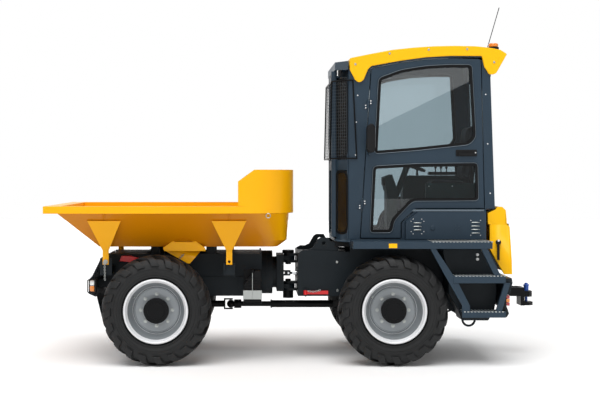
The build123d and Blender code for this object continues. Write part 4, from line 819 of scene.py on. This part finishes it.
for side, sign in (("left", -1), ("right", 1)):
    parts, dots = [], []
    for x, rows, length, corners in louvreKit.values():
        for z in rows:
            parts.append(louvre("louvre", x * mm, z * mm, length * mm, sign * coverSkin))
        middle = (rows[0] + rows[-1]) / 2
        for across, rise in corners:
            for i in (-1, 1):
                for j in (-1, 1):
                    dots.append(((x + i * across) * mm, sign * coverSkin, (middle + j * rise) * mm))
    put(joined(f"louvres_{side}", parts), "rear_frame", "zincPlate", "paint_grey")
    put(studs(f"louvre_screws_{side}", dots, 4.5 * mm, 3 * mm, 8), "rear_frame", "whitePlastic", "zinc")
    # the cover's top edge strip: its lighter grey is painted highlight for the light falling on this top edge
    strip = plate(f"cover_lip_{side}", inMetres([(1150, 1519), (1878, 1519), (1875, 1537), (1168, 1537)]),
                  *span(sign, 690, 701.5), "Y", 1.2 * mm)
    put(strip, "rear_frame", "lipWearAndHighlight", "paint_grey")
    label = block(f"plain_label_{side}", (883 * mm, sign * 1040.6 * mm, 1168 * mm),
                  (965 * mm, sign * 1039.6 * mm, 1212 * mm))
    put(label, "rear_frame", "yellowMoulding", "paint_yellow")
print("screws and louvres made")


# window guard: bent tube frame and welded wire mesh

guardKit = {"low": 2053 * mm, "high": 2842 * mm, "half": 480 * mm, "frontLow": 340 * mm, "frontHigh": 358 * mm,
            "bendLow": (500 * mm, 665 * mm), "bendHigh": (490 * mm, 665 * mm), "pitch": 32 * mm, "sight": 110 * mm,
            "wire": 3.0 * mm, "tube": 9 * mm}


def wirePanel(name, corners, across, up):
    # a grid stretched between four corners and turned to wires
    bpy.ops.object.select_all(action="DESELECT")
    bpy.ops.mesh.primitive_grid_add(x_subdivisions=across, y_subdivisions=up, size=2)
    obj = settle(bpy.context.object, name)
    a, b, c, d = [Vector(corner) for corner in corners]
    for vertex in obj.data.vertices:
        u, v = (vertex.co.x + 1) / 2, (vertex.co.y + 1) / 2
        vertex.co = a.lerp(b, u).lerp(d.lerp(c, u), v)
    return finish(obj, "WIREFRAME", thickness=guardKit["wire"], use_replace=True, use_boundary=True,
                  use_even_offset=False)


def windowGuard():
    g = guardKit
    rows = round((g["high"] - g["low"]) / g["pitch"])
    panels = [wirePanel("guardFront", [(g["frontLow"], -g["half"], g["low"]), (g["frontLow"], g["half"], g["low"]),
                                       (g["frontHigh"], g["half"], g["high"]),
                                       (g["frontHigh"], -g["half"], g["high"])],
                        round(2 * g["half"] / g["sight"]), rows)]
    for sign in (-1, 1):
        lowX, lowY = g["bendLow"]
        highX, highY = g["bendHigh"]
        panels.append(wirePanel("guardWing", [(g["frontLow"], sign * g["half"], g["low"]),
                                              (lowX, sign * lowY, g["low"]), (highX, sign * highY, g["high"]),
                                              (g["frontHigh"], sign * g["half"], g["high"])], 8, rows))
    mesh = joined("window_guard_mesh", panels)
    # the mesh's lighter grey is partly painted highlight
    put(mesh, "rear_frame", "meshGreyAndHighlight", "paint_black", "window_guard")
    tubes = []
    reach = 649 * mm
    for sign in (-1, 1):
        low = (g["frontLow"], sign * g["half"], g["low"])
        high = (g["frontHigh"], sign * g["half"], g["high"])
        bendLow = (g["bendLow"][0], sign * g["bendLow"][1], g["low"])
        bendHigh = (g["bendHigh"][0], sign * g["bendHigh"][1], g["high"])
        backLow, backHigh = (600 * mm, sign * reach, g["low"]), (561 * mm, sign * reach, g["high"])
        tubes.append(tube("guardLoop", [low, bendLow, backLow, backHigh, bendHigh, high], g["tube"], 12, True))
    for x, z in ((g["frontLow"], g["low"]), (g["frontHigh"], g["high"])):
        tubes.append(rod("guardRail", (x, -g["half"], z), (x, g["half"], z), g["tube"], 12))
    put(joined("window_guard_tubes", tubes), "rear_frame", "blackPaint", "paint_black", "window_guard")


windowGuard()
print("window guard made")


# lamps and beacon

lampKit = {"tail": ((2046, 2078), (850, 980), (596, 702)), "work": ((405, 450), (548, 600), (2885, 2950))}
hoopOutline = [(-2030, 838), (-2094, 838), (-2106, 826), (-2106, 716), (-2094, 704), (-2030, 704)]
for side, sign in (("left", -1), ("right", 1)):
    (x0, x1), (y0, y1), (z0, z1) = lampKit["tail"]
    ya, yb = span(sign, y0, y1)
    third = (z1 - z0) / 3
    for i, lens in enumerate(("redLens", "amberLens", "redLens")):
        lamp = block(f"tail_lamp_{side}_{i}", (x0 * mm, ya, (z0 + third * i) * mm),
                     ((x1 + 3) * mm, yb, (z0 + third * (i + 1) - 2) * mm), 4 * mm)
        put(lamp, "rear_frame", lens, "lens", "lamps")
    (x0, x1), (y0, y1), (z0, z1) = lampKit["work"]
    ya, yb = span(sign, y0, y1)
    shell = block(f"work_lamp_{side}", ((x0 + 8) * mm, ya, z0 * mm), (x1 * mm, yb, (z1 + 3) * mm), 8 * mm)
    put(shell, "rear_frame", "blackPlastic", "plastic_black", "lamps")
    lens = block(f"work_lens_{side}", (x0 * mm, ya + 4 * mm, (z0 + 4) * mm),
                 ((x0 + 12) * mm, yb - 4 * mm, (z1 - 2) * mm), 5 * mm)
    put(lens, "rear_frame", "clearLens", "lens", "lamps")
    ya, yb = span(sign, 664, 756)
    for name, finishName, z0, z1 in (("clear", "clearLens", 775, 826), ("amber", "amberLens", 716, 771)):
        lens = block(f"front_{name}_{side}", (-2086 * mm, ya, z0 * mm), (-2038 * mm, yb, z1 * mm), 9 * mm)
        put(lens, "front_frame", finishName, "lens", "front_lamps")
    ya, yb = span(sign, 664, 760)
    body = block(f"front_lamp_body_{side}", (-2042 * mm, ya, 710 * mm), (-2018 * mm, yb, 832 * mm), 5 * mm)
    put(body, "front_frame", "blackPlastic", "plastic_black", "front_lamps")
    hoop = tube(f"front_lamp_hoop_{side}", [(x * mm, sign * 768 * mm, z * mm) for x, z in hoopOutline], 5 * mm)
    put(hoop, "front_frame", "blackPaint", "paint_black")

beaconKit = {"x": 2005 * mm, "y": -520 * mm, "base": 3172 * mm, "top": 3228 * mm, "radius": 56 * mm}
b = beaconKit
dome = rod("beaconDome", (b["x"], b["y"], b["base"] + 16 * mm), (b["x"], b["y"], b["top"]),
           b["radius"] - 6 * mm, 40, 12 * mm)
put(dome, "rear_frame", "amberLens", "lens_amber", "beacon")
foot = rod("beaconFoot", (b["x"], b["y"], b["base"] - 26 * mm), (b["x"], b["y"], b["base"] + 18 * mm),
           b["radius"], 40, 5 * mm)
put(foot, "rear_frame", "blackPlastic", "plastic_black", "beacon")
print("lamps made")


# corner look-outs: smoked panes in wide rubber surrounds on the cab's angled corners

cornerKit = {"front": (388 * mm, 450 * mm), "back": (522 * mm, 640 * mm), "windows": ((1280, 1936), (2052, 2868)),
             "edge": 26 * mm}


def cornerFrame(sign):
    # the plane of the angled corner: X runs along it, -Y faces out
    (xa, ya), (xb, yb) = cornerKit["front"], cornerKit["back"]
    turn = Matrix.Rotation(atan2(-(yb - ya), xb - xa), 4, "Z")
    place = Matrix.Translation((xa, -ya, 0)) @ turn
    return Matrix.Scale(sign, 4, (0, 1, 0)) @ place if sign < 0 else place


for side, sign in (("left", 1), ("right", -1)):
    surrounds, panes = [], []
    (xa, ya), (xb, yb) = cornerKit["front"], cornerKit["back"]
    long = hypot(xb - xa, yb - ya) / mm
    for low, high in cornerKit["windows"]:
        outline = [(16, low), (long - 16, low), (long - 16, high), (16, high)]
        ring = windowSeal("surround", outline, cornerKit["edge"], -1 * mm, 8 * mm, 90)
        surrounds.append(copied(ring, "surround", cornerFrame(sign)))
        bpy.data.objects.remove(ring)
        inner = [(16 + 24, low + 24), (long - 40, low + 24), (long - 40, high - 24), (40, high - 24)]
        pane = plate("pane", roundedOutline(inner, 66), 2 * mm, 7 * mm)
        panes.append(copied(pane, "pane", cornerFrame(sign)))
        bpy.data.objects.remove(pane)
    put(joined(f"corner_seals_{side}", surrounds), "rear_frame", "sealRubber", "rubber")
    put(joined(f"corner_panes_{side}", panes), "rear_frame", "smokedGlass", "glass")
print("corner windows made")


# wheel chock in its cradle

chockKit = {"x": (-540, -368), "y": (-764, -626), "z": (600, 925), "ribs": 7}


def wheelChock():
    c = chockKit
    (x0, x1), (y0, y1), (z0, z1) = c["x"], c["y"], c["z"]
    outline = inMetres([(x0, z0), (x1, z0), (x1, z1), (x1 - 62, z1), (x0, z1 - 135)])
    parts = [plate("wedge", outline, (y0 + 5) * mm, y1 * mm, bevel=7 * mm)]
    for i in range(c["ribs"]):
        z = z0 + 62 + i * 28
        parts.append(block("rib", ((x0 + 14) * mm, (y0 - 1) * mm, z * mm),
                           ((x1 - 14) * mm, (y0 + 9) * mm, (z + 13) * mm), 3 * mm))
    put(joined("chock_rubber", parts), "front_frame", "sealRubber", "rubber", "wheel_chock")
    band = block("chock_band", (-548 * mm, -774 * mm, 640 * mm), (-360 * mm, -768 * mm, 728 * mm), 1.5 * mm)
    buckle = rod("chock_buckle", (-455 * mm, -777 * mm, 648 * mm), (-455 * mm, -777 * mm, 905 * mm), 4 * mm, 10)
    put(joined("chock_strap", [band, buckle]), "front_frame", "zincPlate", "zinc")
    cradle = [block("shelf", (-548 * mm, -767 * mm, 590 * mm), (-360 * mm, -618 * mm, 597 * mm), 1.5 * mm),
              block("back", (-546 * mm, -626 * mm, 590 * mm), (-362 * mm, -618 * mm, 930 * mm), 1.5 * mm),
              block("strap", (-462 * mm, -772 * mm, 600 * mm), (-440 * mm, -767 * mm, 900 * mm), 1 * mm),
              block("strapTop", (-462 * mm, -772 * mm, 890 * mm), (-440 * mm, -622 * mm, 932 * mm), 1 * mm)]
    put(joined("chock_cradle", cradle), "front_frame", "blackPaint", "paint_black")
    arm = block("chock_arm", (-480 * mm, -620 * mm, 700 * mm), (-430 * mm, -400 * mm, 760 * mm), 3 * mm)
    put(arm, "front_frame", "framePaint", "paint_grey")


wheelChock()


# chains, rings and small fittings

def chain(name, start, end, slack=0.0):
    # one welded link is made, then copied along the run, each turned a quarter from the last
    start, end = Vector(start), Vector(end)
    bpy.ops.object.select_all(action="DESELECT")
    bpy.ops.mesh.primitive_torus_add(major_segments=12, minor_segments=6, major_radius=8 * mm, minor_radius=2.4 * mm)
    link = settle(bpy.context.object, "link")
    for vertex in link.data.vertices:
        vertex.co.x *= 1.5
    smooth(link)
    run = end - start
    count = max(int(run.length / (15 * mm)), 2)
    parts = []
    for i in range(count):
        share = (i + 0.5) / count
        centre = start.lerp(end, share) + Vector((0, 0, -slack * sin(pi * share)))
        nextShare = min(share + 0.02, 1)
        ahead = start.lerp(end, nextShare) + Vector((0, 0, -slack * sin(pi * nextShare)))
        turn = (ahead - centre).to_track_quat("X", "Z").to_matrix().to_4x4()
        quarter = Matrix.Rotation(radians(90 * (i % 2)), 4, "X")
        parts.append(copied(link, "link", Matrix.Translation(centre) @ turn @ quarter))
    bpy.data.objects.remove(link)
    return joined(name, parts)


def ring(name, centre, major, minor, axis="Y"):
    turn = {"X": (0, radians(90), 0), "Y": (radians(90), 0, 0), "Z": (0, 0, 0)}[axis]
    bpy.ops.object.select_all(action="DESELECT")
    bpy.ops.mesh.primitive_torus_add(major_segments=28, minor_segments=10, major_radius=major, minor_radius=minor,
                                     location=centre, rotation=turn)
    return smooth(settle(bpy.context.object, name))


for side, sign in (("left", -1), ("right", 1)):
    put(joined(f"pin_chain_{side}", [chain("chain", (-1930 * mm, sign * 818 * mm, 992 * mm),
                                           (-1926 * mm, sign * 818 * mm, 838 * mm)),
                                     ring("pinRing", (-1928 * mm, sign * 818 * mm, 1008 * mm), 17 * mm, 3 * mm)]),
        "front_frame", "zincPlate", "zinc")
    put(chain(f"rest_chain_{side}", (-1146 * mm, sign * 652 * mm, 1086 * mm),
              (-1192 * mm, sign * 652 * mm, 1040 * mm)), "skip", "zincPlate", "zinc")
    put(ring(f"skip_ring_{side}", (-300 * mm, sign * 1000 * mm, 1484 * mm), 22 * mm, 4.5 * mm), "skip",
        "zincPlate", "zinc")
put(chain("lock_bar_chain", (110 * mm, -486 * mm, 700 * mm), (240 * mm, -486 * mm, 708 * mm), 12 * mm),
    "rear_frame", "zincPlate", "zinc")
pinKnob = [rod("pinHead", (2450 * mm, 0, 706 * mm), (2450 * mm, 0, 726 * mm), 30 * mm, 32, 5 * mm),
           rod("pinGrip", (2450 * mm, 0, 722 * mm), (2450 * mm, 0, 742 * mm), 18 * mm, 24, 6 * mm)]
put(joined("hitch_pin_grip", pinKnob), "hitch_pin", "bluePlastic", "plastic_blue")
put(studs("frame_bolts", [(414 * mm, s * 450 * mm, 992 * mm) for s in (-1, 1)]
          + [(x * mm, s * 450 * mm, 700 * mm) for s in (-1, 1) for x in (420, 500)], 15 * mm, 9 * mm, 6),
    "rear_frame", "zincPlate", "zinc")
put(studs("step_bolts", [(1790 * mm, s * 820 * mm, z * mm) for s in (-1, 1) for z in (1090, 1045)],
          15 * mm, 8 * mm, 16), "rear_frame", "whitePlastic", "zinc")


# a folded ledge along each frame flank, and weld beads where the legs meet the skip

for side, sign in (("left", -1), ("right", 1)):
    ya, yb = span(sign, 400, 409)
    ledge = block(f"frame_ledge_{side}", (-1330 * mm, ya, 662 * mm), (-384 * mm, yb, 838 * mm), 2.5 * mm)
    put(ledge, "front_frame", "framePaint", "paint_grey")


def bead(name, points, radius):
    # a weld bead: a thin tube in short steps along its run
    steps = []
    for a, b in zip(points, points[1:]):
        a, b = Vector(a), Vector(b)
        count = max(int((b - a).length / (9 * mm)), 1)
        steps += [a.lerp(b, i / count) for i in range(count)]
    steps.append(Vector(points[-1]))
    return tube(name, [tuple(p) for p in steps], radius, 8)


def skipSideY(z):
    return 640 + (z - 1160) / (1505 - 1160) * (1005 - 640)


for side, sign in (("left", -1), ("right", 1)):
    beads = []
    for x, half in ((-1923, 165), (-687, 172)):
        y = sign * skipSideY(1430)
        beads.append(bead("bead", [((x - half) * mm, y * mm, 1431 * mm), ((x + half) * mm, y * mm, 1431 * mm)],
                          3.5 * mm))
    put(joined(f"leg_welds_{side}", beads), "skip", "yellowPaint", "paint_yellow")
put(ball("cross_hub", (-681 * mm, 0, 520 * mm), 44 * mm, (1, 1, 0.95)), "joint_cross", "blackPaint", "zinc")
postKit = {"fronts": ((354, -478), (384, 446)), "back": 402 * mm, "width": 32, "low": 1250 * mm,
           "high": 2948 * mm}
posts = [block("post", (x * mm, y * mm, postKit["low"]),
               (postKit["back"], (y + postKit["width"]) * mm, postKit["high"]), 6 * mm)
         for x, y in postKit["fronts"]]
put(joined("screen_posts", posts), "rear_frame", "anthracitePaint", "paint_grey")
mounts = [block("mount", (398 * mm, ya, 1150 * mm), (560 * mm, yb, 1238 * mm), 6 * mm)
          for ya, yb in (span(sign, 380, 470) for sign in (-1, 1))]
put(joined("cab_mounts", mounts), "rear_frame", "sealRubber", "rubber")

# folded stay plates under the skip's sides, welded to the slope

stayKit = {"outline": [(-1343, 1118), (-1355, 1151), (-1261, 1217), (-1166, 1257), (-1025, 1217), (-930, 1151),
                       (-930, 1118)],
           "y": (692, 700), "shelf": (612, 698)}
stays = []
for sign in (-1, 1):
    stays.append(plate("stay", inMetres(stayKit["outline"]), *span(sign, *stayKit["y"]), "Y", 2 * mm))
    y0, y1 = span(sign, *stayKit["shelf"])
    stays.append(block("shelf", (-1343 * mm, y0, 1118 * mm), (-930 * mm, y1, 1126 * mm), 2 * mm))
put(joined("skip_stays", stays), "skip", "yellowPaint", "paint_yellow")
print("fittings made")


# step treads: pressed studs with worn bright tops

def repeat(obj, step, count):
    return finish(obj, "ARRAY", use_relative_offset=False, use_constant_offset=True,
                  constant_offset_displace=step, count=count)


treadKit = {"pitch": 34 * mm, "radius": 8 * mm, "rise": 3.5 * mm,
            "treads": (("low", 1620, 2016, 544), ("middle", 1536, 2016, 895), ("top", 1310, 1890, 1230))}
for side, sign in (("left", -1), ("right", 1)):
    parts = []
    pitch = treadKit["pitch"]
    for name, x0, x1, z in treadKit["treads"]:
        alongCount = int((x1 - x0) * mm / pitch) + 1
        stud = rod("treadStud", (x0 * mm, -1026 * mm, (z - 1) * mm),
                   (x0 * mm, -1026 * mm, z * mm + treadKit["rise"]), treadKit["radius"], 10, 1 * mm)
        repeat(stud, (pitch, 0, 0), alongCount)
        repeat(stud, (0, pitch, 0), 10 if name == "top" else 6)
        parts.append(stud)
        tooth = block("tooth", (x0 * mm, -1041 * mm, (z - 7) * mm),
                      ((x0 + 17) * mm, -1037 * mm, (z + 3) * mm), 1 * mm)
        parts.append(repeat(tooth, (pitch, 0, 0), alongCount))
    grip = joined(f"tread_studs_{side}", parts)
    if sign > 0:
        grip.data.transform(Matrix.Scale(-1, 4, (0, 1, 0)))
        outward(grip)
    put(grip, "rear_frame", "zincPlate", "zinc")
print("treads made")


# door handle plate and mirror glasses

put(block("handle_plate", (1600 * mm, -656 * mm, 2074 * mm), (1815 * mm, -647 * mm, 2140 * mm), 4 * mm), "door",
    "blackPlastic", "plastic_black")
put(studs("handle_dot", [(1800 * mm, -656 * mm, 2110 * mm)], 7 * mm, 3 * mm), "door", "whitePlastic", "zinc")
for side, sign in (("left", -1), ("right", 1)):
    ya, yb = span(sign, 708, 872)
    put(block(f"mirror_glass_{side}", (764 * mm, ya, 2156 * mm), (769 * mm, yb, 2352 * mm), 2 * mm),
        f"mirror_{side}", "mirrorGlass", "glass")


# hood: radiator grille on the back and the latch knob

grilleKit = {"half": 430, "low": 960, "high": 1330, "slats": 13}
slats = []
for i in range(grilleKit["slats"]):
    z = grilleKit["low"] + (grilleKit["high"] - grilleKit["low"]) * i / (grilleKit["slats"] - 1)
    x = 2171 - (z - 1022) * 22 / 340 if z > 1022 else 2171 + (1022 - z) * 4 / 142
    slat = block("slat", ((x - 6) * mm, -grilleKit["half"] * mm, (z - 6) * mm),
                 ((x + 5) * mm, grilleKit["half"] * mm, (z + 6) * mm), 2 * mm)
    slats.append(slat)
put(joined("hood_grille", slats), "hood", "blackPlastic", "plastic_black")
put(rod("hood_knob", (2030 * mm, -668 * mm, 1222 * mm), (2030 * mm, -678 * mm, 1222 * mm), 11 * mm, 20, 3 * mm),
    "hood_latch", "whitePlastic", "zinc")
print("hood trim made")


# cab interior

put(welded("console", "console_panels", 9 * mm, 3), "rear_frame", "greenPlastic", "plastic_black", "console")
consoleSpots = [(x * mm, -430 * mm, z * mm) for x in (1360, 1600, 1850) for z in (1560, 1770)]
put(studs("console_screws", consoleSpots, 7 * mm, 3 * mm, 10), "rear_frame", "whitePlastic", "zinc")
matOutline = [(640, 1236), (1140, 1236), (1140, 1252), (700, 1252), (640, 1330), (628, 1330)]
mat = plate("floor_mat", inMetres(matOutline), -560 * mm, 560 * mm, bevel=4 * mm)
put(mat, "rear_frame", "floorMat", "rubber")
screen = block("dash_screen", (925 * mm, -110 * mm, 1775 * mm), (948 * mm, 110 * mm, 1850 * mm), 6 * mm)
put(screen, "rear_frame", "blackPlastic", "plastic_black")
armrest = block("armrest", (1460 * mm, 335 * mm, 1884 * mm), (1800 * mm, 425 * mm, 1920 * mm), 14 * mm)
put(armrest, "rear_frame", "blackPlastic", "plastic_black")
leverSpots = [((1560 + 60 * i) * mm, 500 * mm) for i in range(3)]
gate = [rod("lever", (*spot, 1878 * mm), (*spot, 1960 * mm), 6 * mm, 12) for spot in leverSpots]
gate += [ball("leverKnob", (*spot, 1966 * mm), 15 * mm, segments=16) for spot in leverSpots]
put(joined("side_levers", gate), "rear_frame", "blackPlastic", "plastic_black")
for node in ("steering_wheel", "joystick"):
    put(welded(node, node + "_smooth", 1 * mm, 1), node, "blackPlastic", "plastic_black", node)
print("interior made")


# seat cushions: filled by a short cloth run, then smoothed

seatKit = {"cushion": {"node": "seat_cushion", "cap": 14 * mm, "shrink": 8 * mm},
           "back": {"node": "seat_back", "cap": 14 * mm, "shrink": 8 * mm}}


def seatPad(name, node, cap, shrink):
    pad = welded(node, name, 26 * mm, 4)
    centre = (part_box(node)[0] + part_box(node)[1]) / 2
    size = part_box(node)[1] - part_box(node)[0]
    for vertex in pad.data.vertices:
        for i in range(3):
            vertex.co[i] = centre[i] + (vertex.co[i] - centre[i]) * (1 - 2 * shrink / size[i])
    finish(pad, "REMESH", mode="VOXEL", voxel_size=0.012)
    before = [vertex.co.copy() for vertex in pad.data.vertices]
    take(pad)
    cloth = pad.modifiers.new("Cloth", "CLOTH")
    cloth.settings.use_pressure = True
    cloth.settings.uniform_pressure_force = 4
    cloth.settings.quality = 6
    cloth.settings.effector_weights.gravity = 0
    cloth.point_cache.frame_start, cloth.point_cache.frame_end = 1, 20
    scene = bpy.context.scene
    for moment in range(1, 21):
        scene.frame_set(moment)
    bpy.ops.object.modifier_apply(modifier=cloth.name)
    scene.frame_set(1)
    for vertex, rest in zip(pad.data.vertices, before):
        swell = vertex.co - rest
        if swell.length > cap:
            vertex.co = rest + swell.normalized() * cap
    finish(pad, "SMOOTH", factor=0.5, iterations=3)
    finish(pad, "SUBSURF", levels=1, render_levels=1)
    return smooth(pad, radians(80))


for kind, k in seatKit.items():
    pad = seatPad(f"seat_{kind}_pad", k["node"], k["cap"], k["shrink"])
    put(pad, "seat", "seatCloth", "fabric", k["node"])
print("seat made")


# floor, lights and camera

def softLight(name, place, target, size, power):
    bpy.ops.object.light_add(type="AREA", location=place)
    light = bpy.context.object
    light.name = name
    light.rotation_euler = (Vector(target) - Vector(place)).to_track_quat("-Z", "Y").to_euler()
    light.data.shape = "RECTANGLE"
    light.data.size, light.data.size_y = size
    light.data.energy = power
    return light


studio = {"floorHalf": 90.0, "sky": 0.32, "sun": 2.35, "sunAngle": 50, "backdrop": 1.0, "backdropSize": 160,
          "backdropAway": 40}
bpy.ops.object.select_all(action="DESELECT")
bpy.ops.mesh.primitive_plane_add(size=2 * studio["floorHalf"])
floor = settle(bpy.context.object, "floor")
floor.data.materials.append(newFinish("floorPaper", "#FFFFFF", 0.9)[0])
bpy.ops.object.select_all(action="DESELECT")
bpy.ops.mesh.primitive_plane_add(size=studio["backdropSize"], location=(0, studio["backdropAway"], 0),
                                 rotation=(radians(90), 0, 0))
backdrop = settle(bpy.context.object, "backdrop")
backdrop.data.materials.append(newFinish("backdropPaper", "#000000", 1.0, **{
    "Emission Color": linear("#FFFFFF"), "Emission Strength": studio["backdrop"], "Specular IOR Level": 0.0})[0])

world = bpy.data.worlds.new("studio")
bpy.context.scene.world = world
world.use_nodes = True
world.node_tree.nodes["Background"].inputs["Color"].default_value = linear("#FFFFFF")
world.node_tree.nodes["Background"].inputs["Strength"].default_value = studio["sky"]

bpy.ops.object.light_add(type="SUN", location=(0, -3, 12), rotation=(radians(24), radians(-6), 0))
topLight = bpy.context.object
topLight.name = "topLight"
topLight.data.energy = studio["sun"]
topLight.data.angle = radians(studio["sunAngle"])
softLight("frontSoft", (-6.5, -10.5, 6.0), (-0.5, 0, 1.3), (6.0, 4.0), 130)
# a card behind the camera, which shows as the slanting band in the door's glass
glassCard = softLight("glassCard", (2.5, -14.6, 4.17), (2.5, 0, 4.17), (4.4, 2.0), 42)
glassCard.rotation_euler = (radians(90), radians(-26), 0)
softLight("rearSoft", (8.0, -7.0, 5.0), (1.0, 0, 1.5), (4.0, 4.0), 60)

cameraKit = {"place": (-0.479, -13.750, 1.885),
             "lens": {"lens": 77.76, "sensor_width": 36.0, "shift_x": 0.0833, "shift_y": -0.0417}}
bpy.ops.object.camera_add(location=cameraKit["place"], rotation=(radians(90), 0, 0))
camera = bpy.context.object
camera.name = "camera"
for key, value in cameraKit["lens"].items():
    setattr(camera.data, key, value)
bpy.context.scene.camera = camera
bpy.context.scene.view_settings.view_transform = "Standard"
print("studio set")
